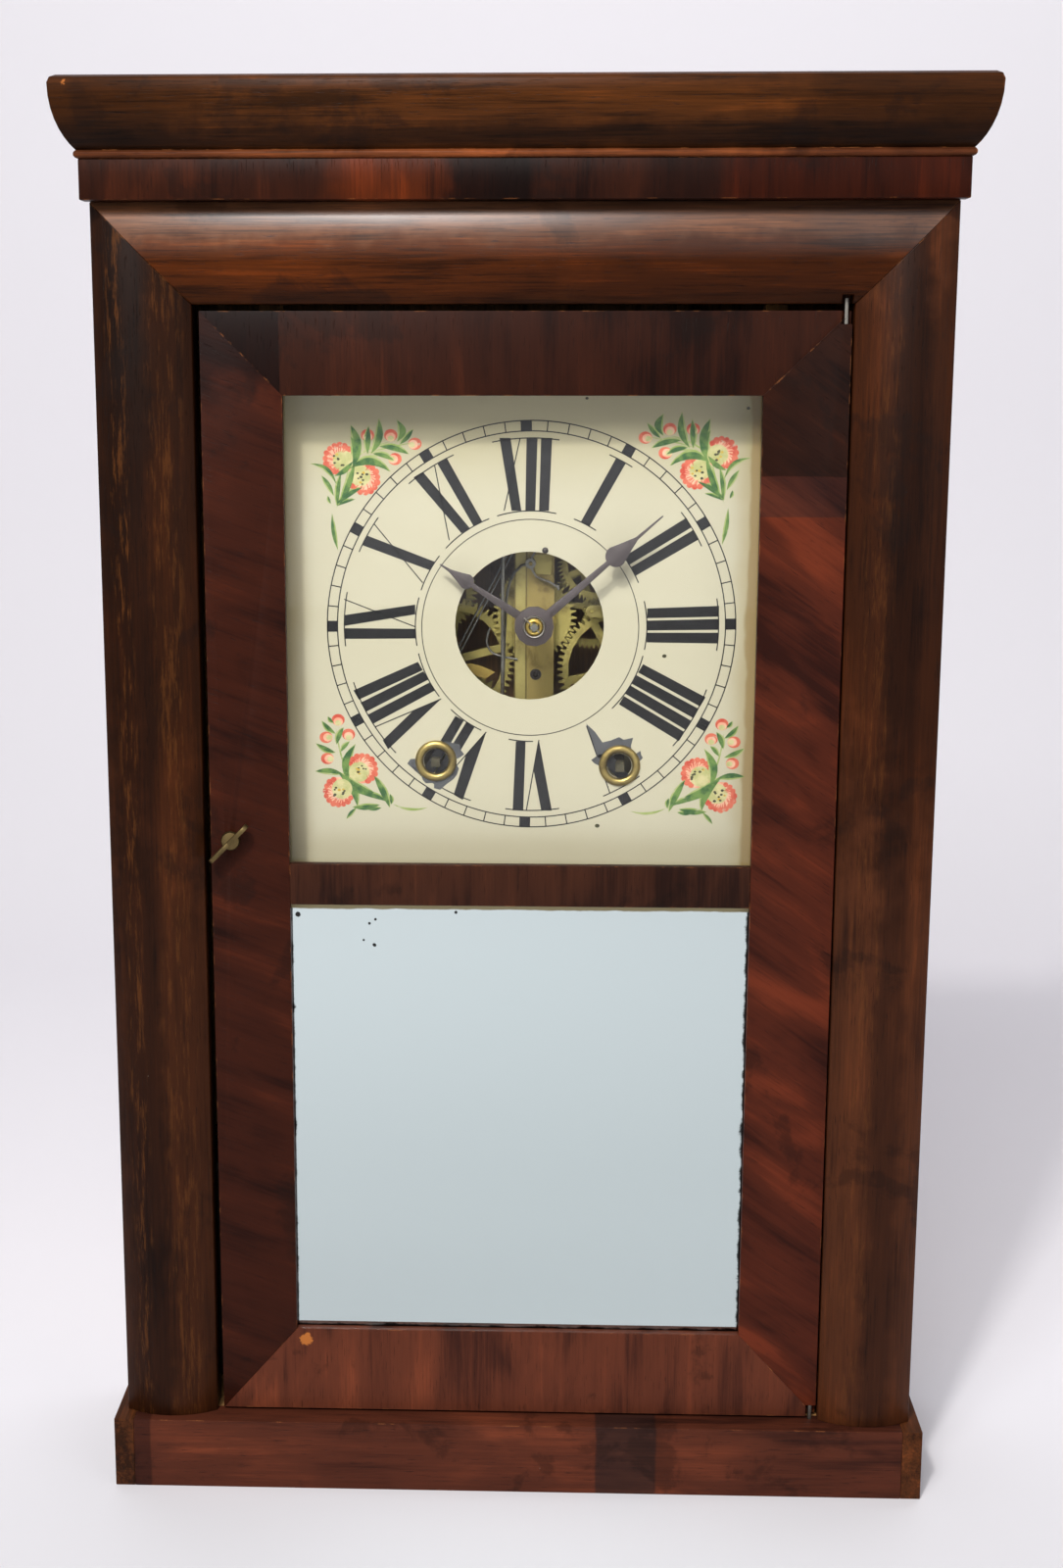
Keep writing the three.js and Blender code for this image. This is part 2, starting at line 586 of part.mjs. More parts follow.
// ---- winding drums and great wheels
const DRUM = { front: 61, back: 74.7 };
const FLANGE = 1.2;
function drum() {
  const back = PLATE.rearInner - SHOULDER;
  const arbor = turned([
    [0, 44], [WINDING_ARBOR, 44], [WINDING_ARBOR, back], [1.5, back], [1.5, PLATE.rear], [0, PLATE.rear],
  ]);
  const square = 2.1;
  const key = box(-square, square, 21, 45, -square, square);
  const flange = DRUM_RADIUS + 2;
  const barrel = turned([
    [0, DRUM.front], [flange, DRUM.front], [flange, DRUM.front + FLANGE], [DRUM_RADIUS, DRUM.front + FLANGE],
    [DRUM_RADIUS, DRUM.back - FLANGE], [flange, DRUM.back - FLANGE], [flange, DRUM.back], [0, DRUM.back],
  ], 18);
  return join(arbor, key, barrel);
}
add(movement, 'drum_time', drum(), 'brass', AT.timeGreat);
add(movement, 'drum_strike', drum(), 'brass', AT.strikeGreat);

const GREAT_SPOKES = { hub: 9, rim: 4, count: 5, width: 5, turn: 0.3 };
function greatWheel(module) {
  return cut(
    wheel(great, module, 0, LAYER.great, GREAT_SPOKES, POINTED_TOOTH),
    rod(WINDING_ARBOR + 0.2, 72, 82, 12),
  );
}
add(movement, 'great_wheel_time', greatWheel(moduleTime), 'brass', AT.timeGreat);
add(movement, 'great_wheel_strike', greatWheel(moduleStrike), 'brass', AT.strikeGreat);

// ---- going train
const ARBOR = 1.3;
const SPOKES = { hub: 5, rim: 3.2, count: 5, width: 4, turn: 0.55 };
add(movement, 'second_wheel', join(
  pivoted(ARBOR),
  wheel(TEETH.second, moduleSecond, 0, LAYER.second, { ...SPOKES, rim: 2.7, turn: 0.85 }, SQUARE_TOOTH),
  pinion(TEETH.secondPinion, moduleTime, meshPhase(
    AT.timeGreat, AT.timeSecond, great, TEETH.secondPinion, 0,
  ), LAYER.secondPinion),
), 'brass', AT.timeSecond);

add(movement, 'third_wheel', join(
  pivoted(ARBOR),
  wheel(TEETH.third, moduleThird, 0, LAYER.third, { ...SPOKES, hub: 4.5, rim: 2.6, width: 3 }),
  pinion(TEETH.thirdPinion, moduleSecond, meshPhase(
    AT.timeSecond, AT.timeThird, TEETH.second, TEETH.thirdPinion, 0,
  ), leafRange(LAYER.second)),
), 'brass', AT.timeThird);

const ESCAPE_RADIUS = 19;
function escapeTeeth() {
  const points = [];
  for (let i = 0; i < TEETH.escape; i += 1) {
    [[ESCAPE_RADIUS - 2.6, 0], [ESCAPE_RADIUS, 0.72], [ESCAPE_RADIUS - 2.6, 0.8]].forEach(([radius, share]) => {
      points.push(polar(radius, ((i + share) * TAU) / TEETH.escape));
    });
  }
  return crossOut(new THREE.Shape(points), 4.5, ESCAPE_RADIUS - 5, 4, 3, 0.4);
}
add(movement, 'escape_wheel', join(
  pivoted(ARBOR),
  slab(escapeTeeth(), ...LAYER.minute),
  pinion(TEETH.escapePinion, moduleThird, meshPhase(
    AT.timeThird, AT.escape, TEETH.third, TEETH.escapePinion, 0,
  ), leafRange(LAYER.third)),
), 'brass', AT.escape);

// ---- motion work
const centrePhase = meshPhase(AT.timeSecond, AT.centre, TEETH.second, TEETH.centre, 0);
const minutePhase = meshPhase(AT.centre, AT.minute, TEETH.cannon, TEETH.minute, 0);
const HAND_SQUARE = 1.7;
add(movement, 'centre_arbor', join(
  turned([
    [0, 16], [CENTRE_ARBOR, 16],
    [CENTRE_ARBOR, PLATE.rearInner - SHOULDER], [PIVOT, PLATE.rearInner - SHOULDER],
    [PIVOT, PLATE.rear], [0, PLATE.rear],
  ]),
  box(-HAND_SQUARE, HAND_SQUARE, 11.5, 17, -HAND_SQUARE, HAND_SQUARE),
  wheel(TEETH.centre, moduleSecond, centrePhase, LAYER.second, null, SQUARE_TOOTH),
  pinion(TEETH.cannon, moduleMinute, 0, LAYER.cannon),
), 'brass', AT.centre);
add(movement, 'minute_wheel', cut(
  join(
    wheel(TEETH.minute, moduleMinute, minutePhase, LAYER.minute),
    pinion(TEETH.minutePinion, moduleHour, 0, LAYER.minutePinion),
  ),
  rod(MINUTE_STUD + 0.2, PLATE.inner, 54),
), 'brass', AT.minute);
add(movement, 'hour_wheel', cut(
  join(
    wheel(TEETH.hour, moduleHour, meshPhase(
      AT.minute, AT.centre, TEETH.minutePinion, TEETH.hour, 0,
    ), LAYER.hour),
    rod(HOUR_PIPE, 18, LAYER.hour[1], 16),
  ),
  rod(CENTRE_ARBOR + 0.3, 17, 52, 12),
), 'brass', AT.centre);

// ---- hands, set at about eight minutes past ten
const HAND = {
  hour: { length: 53.6, bulb: 38.7, radius: 3.6, root: 2.1, neck: 1.1, layer: [18.4, 19.4], turn: -57 },
  minute: { length: 80, bulb: 51, radius: 5, root: 2.2, neck: 1.2, layer: [14.4, 15.4], turn: 48.9 },
};
const HAND_HUB = 9.4;
function handShape({ length, bulb, radius, root, neck }) {
  const shape = new THREE.Shape();
  const hubAngle = Math.asin(root / HAND_HUB);
  shape.absarc(0, 0, HAND_HUB, Math.PI / 2 + hubAngle, 2.5 * Math.PI - hubAngle, false);
  shape.lineTo(neck, bulb - radius * 0.95);
  shape.absarc(0, bulb, radius, -Math.PI / 2 + Math.asin(neck / radius), 0.12, false);
  shape.quadraticCurveTo(radius * 0.55, bulb + radius * 1.3, 0.75, bulb + radius * 2.6);
  shape.lineTo(0.3, length);
  shape.lineTo(-0.3, length);
  shape.lineTo(-0.75, bulb + radius * 2.6);
  shape.quadraticCurveTo(
    -radius * 0.55, bulb + radius * 1.3, -radius * Math.cos(0.12), bulb + radius * Math.sin(0.12),
  );
  shape.absarc(0, bulb, radius, Math.PI - 0.12, 1.5 * Math.PI - Math.asin(neck / radius), false);
  shape.closePath();
  return shape;
}
function hand(form, hole) {
  return cut(slab(handShape(form), ...form.layer).rotateY((form.turn * Math.PI) / 180), hole);
}
add(movement, 'hour_hand', hand(HAND.hour, rod(HOUR_PIPE + 0.15, 17, 21, 16)), 'darkSteel', AT.centre);
const squareHole = HAND_SQUARE + 0.15;
add(movement, 'minute_hand', hand(
  HAND.minute, box(-squareHole, squareHole, 13, 17, -squareHole, squareHole),
), 'darkSteel', AT.centre);

// ---- striking train
const PIN_CIRCLE = 26.4;
const LIFTING_PINS = 13;
const pins = Array.from({ length: LIFTING_PINS }, (_, i) => {
  const angle = (i * TAU) / LIFTING_PINS;
  return rod(0.8, LAYER.pins[1] - 0.5, 60.4, 5).translate(
    PIN_CIRCLE * Math.cos(angle), 0, PIN_CIRCLE * Math.sin(angle),
  );
});
add(movement, 'pin_wheel', join(
  pivoted(ARBOR),
  wheel(TEETH.second, modulePin, 0, LAYER.pins, { ...SPOKES, rim: 3.4, turn: 0.25 }, SQUARE_TOOTH),
  ...pins,
  pinion(TEETH.secondPinion, moduleStrike, meshPhase(
    AT.strikeGreat, AT.pinWheel, great, TEETH.secondPinion, 0,
  ), LAYER.secondPinion),
  pinion(TEETH.secondPinion, moduleCount, 0, leafRange(LAYER.count)),
), 'brass', AT.pinWheel);
add(movement, 'warning_wheel', join(
  pivoted(ARBOR),
  wheel(TEETH.warning, moduleWarning, 0, LAYER.third, { ...SPOKES, hub: 4.5, rim: 2.6, width: 3 }),
  pinion(TEETH.thirdPinion, modulePin, meshPhase(
    AT.pinWheel, AT.warning, TEETH.second, TEETH.thirdPinion, 0,
  ), leafRange(LAYER.pins)),
), 'brass', AT.warning);
add(movement, 'fly', join(
  pivoted(ARBOR),
  pinion(TEETH.flyPinion, moduleWarning, meshPhase(
    AT.warning, AT.fly, TEETH.warning, TEETH.flyPinion, 0,
  ), leafRange(LAYER.third)),
  box(-15, 15, 70, 81, -0.5, 0.5),
), 'brass', AT.fly);

// The count wheel's slots lie ever further apart, one more blow between each and the next.
const COUNT_SLOTS = 11;
const BLOWS = 78;
function countWheel() {
  const phase = meshPhase(AT.pinWheel, AT.count, TEETH.secondPinion, TEETH.count, 0);
  const shape = toothed(TEETH.count, moduleCount, phase, POINTED_TOOTH);
  for (let hour = 1; hour <= COUNT_SLOTS; hour += 1) {
    const angle = (((hour * (hour + 1)) / 2) * TAU) / BLOWS;
    const across = 0.055;
    shape.holes.push(new THREE.Path([
      ...arc(15, angle - across, angle + across, 1), ...arc(12, angle + across, angle - across, 1),
    ]));
  }
  return shape;
}
add(movement, 'count_wheel', cut(
  join(slab(countWheel(), ...LAYER.count), rod(3, LAYER.count[0], 68, 10)),
  rod(COUNT_STUD + 0.2, 60, 70),
), 'brass', AT.count);

// ---- hammer: arbor, lifting tail, wire and head
function hammer() {
  const [dx, dz] = [AT.pinWheel[0] - AT.hammer[0], AT.pinWheel[1] - AT.hammer[1]];
  const tailLength = Math.hypot(dx, dz) - PIN_CIRCLE - 1.6;
  const tail = box(0, tailLength, 58.6, 60.4, -1, 1).rotateY(-Math.atan2(dz, dx));
  const stem = wire([[0, 81.8, 0], [-2, 81.8, -38], [0, 86, -72], [0, 90.5, -100], [0, 91, -121]], 1.1, 14);
  const head = rod(5, -7, 7, 14).rotateZ(Math.PI / 2).translate(0, 91, GONG.z - ARBOR_Z - AT.hammer[1]);
  return join(pivoted(1.5), tail, stem, head);
}
add(movement, 'hammer', hammer(), 'steel', AT.hammer);

// ---- verge: strip pallets on a saddle, with the crutch wire that drives the pendulum
const VERGE_LAYER = [42.6, 44.2];
const PALLET_SPAN = 0.56;
function verge() {
  const toWheel = [AT.escape[0] - AT.verge[0], AT.escape[1] - AT.verge[1]];
  const back = Math.atan2(-toWheel[1], -toWheel[0]);
  const clear = ESCAPE_RADIUS + 2.3;
  const tips = [back - PALLET_SPAN, back + PALLET_SPAN].map((angle) => [
    toWheel[0] + clear * Math.cos(angle), toWheel[1] + clear * Math.sin(angle),
  ]);
  const bends = [
    [[0, 0], [1, -3.6], [2.9, -6.6], [5.8, -7.8], [9, -8.8], tips[1]],
    [[0, 0], [1, 3.6], [3, 6.6], [6.5, 8.2], tips[0]],
  ];
  const strips = bends.flatMap((bend) => bend.slice(1).map(([x, z], i) => {
    const [x0, z0] = bend[i];
    const along = box(-0.3, Math.hypot(x - x0, z - z0) + 0.3, ...VERGE_LAYER, -0.45, 0.45);
    return along.rotateY(-Math.atan2(z - z0, x - x0)).translate(x0, 0, z0);
  }));
  const pallets = tips.map(([x, z]) => box(x - 0.5, x + 0.5, VERGE_LAYER[0], 53.2, z - 1.1, z + 1.1));
  const crutch = wire([
    [0, 43.2, 0], [-3.6, 43.2, -0.6], [-8.5, 43.2, -5.6], [-11.2, 43.2, -13.8], [-12.2, 43, -28],
    [-13.2, 43, -60], [-13.4, 43, -78],
  ], 0.75, 18);
  const loop = cut(box(-16.2, -10.6, 34.8, 44, -80, -77.6), box(-14.8, -12, 36, 41, -81, -76));
  const saddle = rod(2.6, 41, 45.6, 12);
  const bore = rod(PIVOT + 0.15, 39, 47, 10);
  return cut(join(saddle, ...strips, ...pallets, crutch, loop), bore);
}
add(movement, 'verge', verge(), 'steel', AT.verge);

// ---- pendulum, hung from the suspension post in front of the plates
const ROD_Y = 38.4;
add(movement, 'pendulum_rod', join(
  box(-0.2, 0.2, ROD_Y - 2.5, ROD_Y + 2.5, -9, 1.6),
  upright(0.9, -PENDULUM_LENGTH - 34, -8).translate(0, ROD_Y, 0),
  upright(3, -PENDULUM_LENGTH - 32, -PENDULUM_LENGTH - 28, 12).translate(0, ROD_Y, 0),
), 'steel', AT.pendulum);
const BOB = 25;
add(movement, 'pendulum_bob', cut(
  turned([[0, -6], [9, -5.6], [18, -4], [BOB, -0.8], [BOB, 0.8], [18, 4], [9, 5.6], [0, 6]], 22)
    .translate(0, ROD_Y, -PENDULUM_LENGTH),
  upright(1.15, -PENDULUM_LENGTH - 30, -PENDULUM_LENGTH + 30).translate(0, ROD_Y, 0),
), 'brass', AT.pendulum);

// ---- gong: a flat coil of wire on an iron post
const GONG_STEPS = 62;
const coilPoints = Array.from({ length: GONG_STEPS + 1 }, (_, i) => {
  const share = i / GONG_STEPS;
  const radius = GONG.inner + (GONG.outer - GONG.inner) * share;
  const angle = Math.PI - TAU * GONG.turns * (1 - share);
  return [radius * Math.cos(angle), GONG.y, radius * Math.sin(angle)];
});
const start = coilPoints[0];
add(clock, 'gong_coil', wire(coilPoints, 1.3, GONG_STEPS), 'steel', [GONG.x, GONG.z]);
add(clock, 'gong_post', cut(
  join(
    turned([[0, 87], [4, 87], [6.5, 89], [6.5, 93], [9, BACKBOARD_FRONT], [0, BACKBOARD_FRONT]], 16),
    box(
      Math.min(0, start[0]), Math.max(0, start[0]) + 2, 88.5, 93.5,
      Math.min(0, start[2]) - 3, Math.max(0, start[2]) + 3,
    ),
  ),
  gongSeat(),
), 'iron', [GONG.x, GONG.z]);

// The seat in the post for the coil's inner end, a little wider than the wire.
function gongSeat() {
  return wire(coilPoints, 1.7, GONG_STEPS);
}

// ---- pulleys and weights
SIDES.forEach(([side, sign]) => {
  const groove = turned([
    [0, -14], [1.5, -14], [1.5, -4], [PULLEY_RADIUS, -4], [PULLEY_RADIUS, -2.5], [PULLEY_RADIUS - 3, 0],
    [PULLEY_RADIUS, 2.5], [PULLEY_RADIUS, 4], [1.5, 4], [1.5, 14], [0, 14],
  ], 16);
  groove.translate(0, DRIVE_Y, 0);
  add(clock, `pulley_${side}`, groove, 'brass', [sign * PULLEY_X, CORNICE_FOOT + 1.7]);
});

function weight() {
  const top = BASE_TOP + WEIGHT_HEIGHT;
  const body = turned([
    [0, BASE_TOP], [WEIGHT_RADIUS - 2, BASE_TOP], [WEIGHT_RADIUS, BASE_TOP + 2], [WEIGHT_RADIUS, top - 5],
    [WEIGHT_RADIUS - 4, top - 1], [6, top], [0, top],
  ], 16).rotateX(Math.PI / 2);
  const eye = disc(7);
  const hole = new THREE.Path();
  hole.absarc(0, 0, 3.6, 0, TAU, true);
  eye.holes.push(hole);
  return join(body, slab(eye, -1.8, 1.8).translate(0, 0, top + 5)).translate(0, DRIVE_Y, 0);
}
SIDES.forEach(([side, sign]) => add(clock, `weight_${side}`, weight(), 'iron', [sign * WEIGHT_X, 0]));

export default clock;
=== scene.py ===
"""Looks of an old weight-driven shelf clock with a moulded, veneered case and an open-centred painted dial.

Metres, +Z up. The front of the clock faces -Y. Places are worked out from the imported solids.
"""
import itertools
import math
import random

import bmesh
import bpy
from mathutils import Matrix, Vector


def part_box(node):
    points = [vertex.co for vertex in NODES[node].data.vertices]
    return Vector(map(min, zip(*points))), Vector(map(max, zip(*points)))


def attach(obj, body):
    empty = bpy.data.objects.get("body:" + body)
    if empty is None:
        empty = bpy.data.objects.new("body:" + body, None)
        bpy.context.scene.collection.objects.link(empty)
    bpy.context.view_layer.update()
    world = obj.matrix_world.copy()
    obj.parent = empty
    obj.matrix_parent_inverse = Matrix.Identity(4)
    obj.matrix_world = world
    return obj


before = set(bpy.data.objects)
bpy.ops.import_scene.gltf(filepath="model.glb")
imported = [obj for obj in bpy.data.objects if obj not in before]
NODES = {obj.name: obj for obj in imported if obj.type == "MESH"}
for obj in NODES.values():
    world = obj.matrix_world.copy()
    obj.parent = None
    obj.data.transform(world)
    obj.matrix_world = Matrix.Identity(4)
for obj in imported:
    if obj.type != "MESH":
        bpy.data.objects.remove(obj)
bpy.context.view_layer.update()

MM = 0.001
TURN = 2 * math.pi
random.seed(12)


def middle(node):
    low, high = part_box(node)
    return (low + high) / 2


# The dial's front, the hands' arbor and the two winding holes.
DIAL_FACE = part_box("dial")[0].y
ARBOR = middle("hour_wheel")
WINDING = {side: middle(node) for side, node in (("left", "drum_strike"), ("right", "drum_time"))}


# ------------------------ colours and shader wiring
def srgb(code):
    """A colour written as rrggbb, in the linear values that shaders use."""
    parts = [int(code[i:i + 2], 16) / 255 for i in (0, 2, 4)]
    return tuple(c / 12.92 if c <= 0.04045 else ((c + 0.055) / 1.055) ** 2.4 for c in parts)


class Wiring:
    """Adds shader nodes to one tree, with plain calls for what these finishes use."""

    def __init__(self, tree):
        self.tree = tree

    def feed(self, socket, value):
        if isinstance(value, bpy.types.NodeSocket):
            self.tree.links.new(value, socket)
        elif socket.type == "RGBA":
            socket.default_value = (*value[:3], 1)
        else:
            socket.default_value = value

    def add(self, kind, inputs=None, **settings):
        node = self.tree.nodes.new("ShaderNode" + kind)
        for name, value in settings.items():
            setattr(node, name, value)
        for name, value in (inputs or {}).items():
            self.feed(node.inputs[name], value)
        return node

    def math(self, operation, a, b=0.0):
        return self.add("Math", {0: a, 1: b}, operation=operation).outputs[0]

    def noise(self, vector, scale, detail=3.0, roughness=0.55, distortion=0.0):
        given = {"Vector": vector, "Scale": scale, "Detail": detail, "Roughness": roughness,
                 "Distortion": distortion}
        return self.add("TexNoise", given).outputs["Fac"]

    def fade(self, value, low, high):
        """0 below low, 1 above high, and smooth between."""
        given = {"Value": value, "From Min": low, "From Max": high}
        return self.add("MapRange", given, interpolation_type="SMOOTHSTEP").outputs["Result"]

    def scale_to(self, value, low, high):
        """A value from 0 to 1 spread from low to high."""
        return self.add("MapRange", {"Value": value, "To Min": low, "To Max": high}).outputs["Result"]

    def blend(self, factor, a, b, how="MIX"):
        node = self.add("Mix", {0: factor, 6: a, 7: b}, data_type="RGBA", blend_type=how)
        return node.outputs[2]

    def cover(self, colour, mask, amount, coat):
        """A colour with a coat over it inside a mask, as strongly as the amount says."""
        return self.blend(self.math("MULTIPLY", mask, amount), colour, coat)

    def swing(self, pattern, amount):
        """A pattern as a rise or fall from its middle value."""
        return self.math("MULTIPLY", self.math("SUBTRACT", pattern, 0.5), amount)

    def place(self, vector, scale=(1, 1, 1), turn=(0, 0, 0), move=(0, 0, 0)):
        given = {"Vector": vector, "Location": move, "Rotation": turn, "Scale": scale}
        return self.add("Mapping", given).outputs[0]

    def axis(self, vector, name):
        return self.add("SeparateXYZ", {0: vector}).outputs[name]

    def distance(self, vector, centre):
        return self.add("VectorMath", {0: vector, 1: centre}, operation="DISTANCE").outputs["Value"]


def new_group(name, inputs, outputs):
    """An empty shader group with named inputs and outputs."""
    tree = bpy.data.node_groups.new(name, "ShaderNodeTree")
    for socket, (kind, default) in inputs.items():
        item = tree.interface.new_socket(socket, in_out="INPUT", socket_type="NodeSocket" + kind)
        if default is not None:
            item.default_value = default
    for socket, kind in outputs.items():
        tree.interface.new_socket(socket, in_out="OUTPUT", socket_type="NodeSocket" + kind)
    wires = Wiring(tree)
    given = tree.nodes.new("NodeGroupInput").outputs
    result = tree.nodes.new("NodeGroupOutput").inputs
    return tree, wires, given, result


def wood_group():
    """Wood whose grain runs along X of the vector: broad figure, smudges, streaks, fibres and pores."""
    brown = (0.1, 0.05, 0.03, 1)
    tree, w, given, result = new_group("wood_figure", {
        "Vector": ("Vector", None), "Dark": ("Color", brown), "Middle": ("Color", brown),
        "Light": ("Color", brown), "Figure": ("Float", 1.0), "Streaks": ("Float", 1.0),
    }, {"Color": "Color", "Height": "Float"})
    vector = given["Vector"]
    figure = w.noise(w.place(vector, (0.28, 1, 1)), 42, 3, 0.5, 0.8)
    smudge = w.noise(w.place(vector, (0.45, 1, 1)), 11, 4, 0.55, 0.6)
    streaks = w.noise(w.place(vector, (0.05, 1, 1)), 170, 5, 0.62, 0.5)
    fibres = w.noise(w.place(vector, (0.03, 1, 1)), 800, 4, 0.7)
    pores = w.noise(w.place(vector, (0.07, 1, 1)), 1700, 2, 0.5)
    tone = w.swing(figure, given["Figure"])
    for pattern, amount in ((streaks, given["Streaks"]), (fibres, given["Streaks"]), (smudge, 0.9)):
        tone = w.math("ADD", tone, w.swing(pattern, amount))
    colour = w.blend(w.fade(tone, -0.32, 0.02), given["Dark"], given["Middle"])
    colour = w.blend(w.fade(tone, 0.0, 0.42), colour, given["Light"])
    open_pores = w.fade(pores, 0.62, 0.74)
    colour = w.cover(colour, open_pores, 0.5, (0.008, 0.004, 0.003))
    height = w.math("SUBTRACT", w.math("ADD", streaks, w.math("MULTIPLY", fibres, 0.5)), open_pores)
    w.feed(result["Color"], colour)
    w.feed(result["Height"], height)
    return tree


def edge_group():
    """1 along sharp edges within a width, broken up so that the wear comes and goes."""
    tree, w, given, result = new_group("edge_wear", {
        "Vector": ("Vector", None), "Width": ("Float", 0.001), "Amount": ("Float", 0.5),
    }, {"Mask": "Float"})
    rounded = w.add("Bevel", {"Radius": given["Width"]}, samples=4).outputs[0]
    flat = w.add("NewGeometry").outputs["Normal"]
    facing = w.add("VectorMath", {0: rounded, 1: flat}, operation="DOT_PRODUCT").outputs["Value"]
    edge = w.fade(w.math("SUBTRACT", 1.0, facing), 0.01, 0.16)
    broken = w.noise(given["Vector"], 130, 4, 0.65)
    least = w.math("SUBTRACT", 0.78, w.math("MULTIPLY", given["Amount"], 0.5))
    worn = w.fade(w.math("SUBTRACT", broken, least), 0.0, 0.12)
    w.feed(result["Mask"], w.math("MULTIPLY", edge, worn))
    return tree


def scuff_group():
    """Scattered rubbed patches: 1 inside them, 0 outside."""
    tree, w, given, result = new_group("scuffs", {
        "Vector": ("Vector", None), "Scale": ("Float", 60.0), "Least": ("Float", 0.6),
    }, {"Mask": "Float"})
    cloud = w.noise(given["Vector"], given["Scale"], 6, 0.62, 0.3)
    over = w.math("SUBTRACT", cloud, given["Least"])
    w.feed(result["Mask"], w.fade(over, 0.0, 0.06))
    return tree


def spot_group():
    """One ragged spot: 1 inside the radius round the centre, 0 outside."""
    tree, w, given, result = new_group("ragged_spot", {
        "Vector": ("Vector", None), "Centre": ("Vector", None), "Radius": ("Float", 0.003),
        "Ragged": ("Float", 0.6),
    }, {"Mask": "Float"})
    reach = w.math("DIVIDE", w.distance(given["Vector"], given["Centre"]), given["Radius"])
    rough = w.swing(w.noise(given["Vector"], 420, 4, 0.7), given["Ragged"])
    reach = w.math("ADD", reach, w.math("MULTIPLY", rough, 2.0))
    w.feed(result["Mask"], w.math("SUBTRACT", 1.0, w.fade(reach, 0.85, 1.1)))
    return tree


GROUPS = {"wood": wood_group(), "edge": edge_group(), "scuff": scuff_group(), "spot": spot_group()}


class Finish(Wiring):
    """One material. Its patterns read Object coordinates, which are the clock's own metres."""

    def __init__(self, name, **plain):
        self.material = bpy.data.materials.new(name)
        self.material.use_nodes = True
        super().__init__(self.material.node_tree)
        self.shader = self.tree.nodes["Principled BSDF"]
        self.where = self.add("TexCoord").outputs["Object"]
        self.set(**plain)

    def set(self, **values):
        for name, value in values.items():
            self.feed(self.shader.inputs[name.replace("_", " ")], value)

    def group(self, name, **inputs):
        node = self.tree.nodes.new("ShaderNodeGroup")
        node.node_tree = GROUPS[name]
        for socket, value in inputs.items():
            self.feed(node.inputs[socket], value)
        return node

    def spot(self, centre_mm, radius_mm, ragged=0.6):
        centre = Vector(centre_mm) * MM
        return self.group("spot", Vector=self.where, Centre=centre, Radius=radius_mm * MM,
                          Ragged=ragged).outputs["Mask"]

    def scuffs(self, scale, least, stretch=(1, 1, 1)):
        vector = self.place(self.where, stretch)
        return self.group("scuff", Vector=vector, Scale=scale, Least=least).outputs["Mask"]

    def edges(self, width_mm, amount):
        return self.group("edge", Vector=self.where, Width=width_mm * MM, Amount=amount).outputs["Mask"]

    def relief(self, height, depth_mm, strength=1.0):
        given = {"Height": height, "Distance": depth_mm * MM, "Strength": strength}
        self.feed(self.shader.inputs["Normal"], self.add("Bump", given).outputs[0])


# ------------------------ wood finishes
GRAIN_TURN = {"x": 0, "y": 0, "z": math.pi / 2}
BARE_WOOD = srgb("a9683a")
DIRT = srgb("140c09")
PALE_DUST = srgb("b9aa9a")


def tint(colour, *factors):
    return tuple(c * f for c, f in zip(colour, factors))


def lay_patches(f, colour, patches):
    """Patches are (mask maker, colour, blend) laid over a colour one after another."""
    for mask, over, how in patches:
        colour = f.blend(mask(f), colour, over, how)
    return colour


def wood(name, grain, tone, shift=0.0, figure=0.7, streaks=1.0, slant=0, shine=0.34, gloss=0.07, wear=0.5,
         varnish=None, patches=()):
    """Old varnished wood of one middle tone, with patches over it.

    The slant turns a flame figure away from the level, in degrees. Thick varnish is left above a height
    in mm."""
    f = Finish(name)
    turn = (0, GRAIN_TURN[grain], math.pi / 2 if grain == "y" else 0)
    move = (shift, shift * 0.7, shift * 0.4)
    leaning = (0, turn[1] + math.radians(slant), turn[2])
    vector = f.place(f.where, (1, 1, 1), leaning, move)
    middle_tone = srgb(tone)
    figured = f.group("wood", Vector=vector, Dark=tint(middle_tone, 0.36, 0.4, 0.5), Middle=middle_tone,
                      Light=tint(middle_tone, 2.1, 1.9, 1.6), Figure=figure, Streaks=streaks)
    colour = lay_patches(f, figured.outputs["Color"], patches)
    colour = f.cover(colour, f.scuffs(20, 0.57), 0.4, DIRT)
    dents = f.scuffs(230, 0.72)
    colour = f.cover(colour, dents, 0.7, DIRT)
    colour = f.cover(colour, f.scuffs(300, 0.75), 0.8, PALE_DUST)
    worn = f.edges(0.9, wear)
    colour = f.cover(colour, worn, 0.7, BARE_WOOD)
    height = f.math("SUBTRACT", figured.outputs["Height"], dents)
    cloud = f.noise(f.where, 35, 4, 0.6)
    rough = f.math("ADD", f.scale_to(cloud, shine - 0.08, shine + 0.16), f.math("MULTIPLY", worn, 0.3))
    f.set(Base_Color=colour, Roughness=rough, Specular_IOR_Level=gloss)
    if varnish:
        up = f.fade(f.axis(f.where, "Z"), (varnish - 4) * MM, (varnish + 4) * MM)
        coat = f.math("MULTIPLY", up, f.scale_to(cloud, 0.55, 1.0))
        f.set(Coat_Weight=coat, Coat_Roughness=0.3, Coat_IOR=1.5)
    f.relief(height, 0.07)
    return f.material


def spot_patch(centre_mm, radius_mm, colour, ragged=0.7):
    return (lambda f: f.spot(centre_mm, radius_mm, ragged), colour, "MIX")


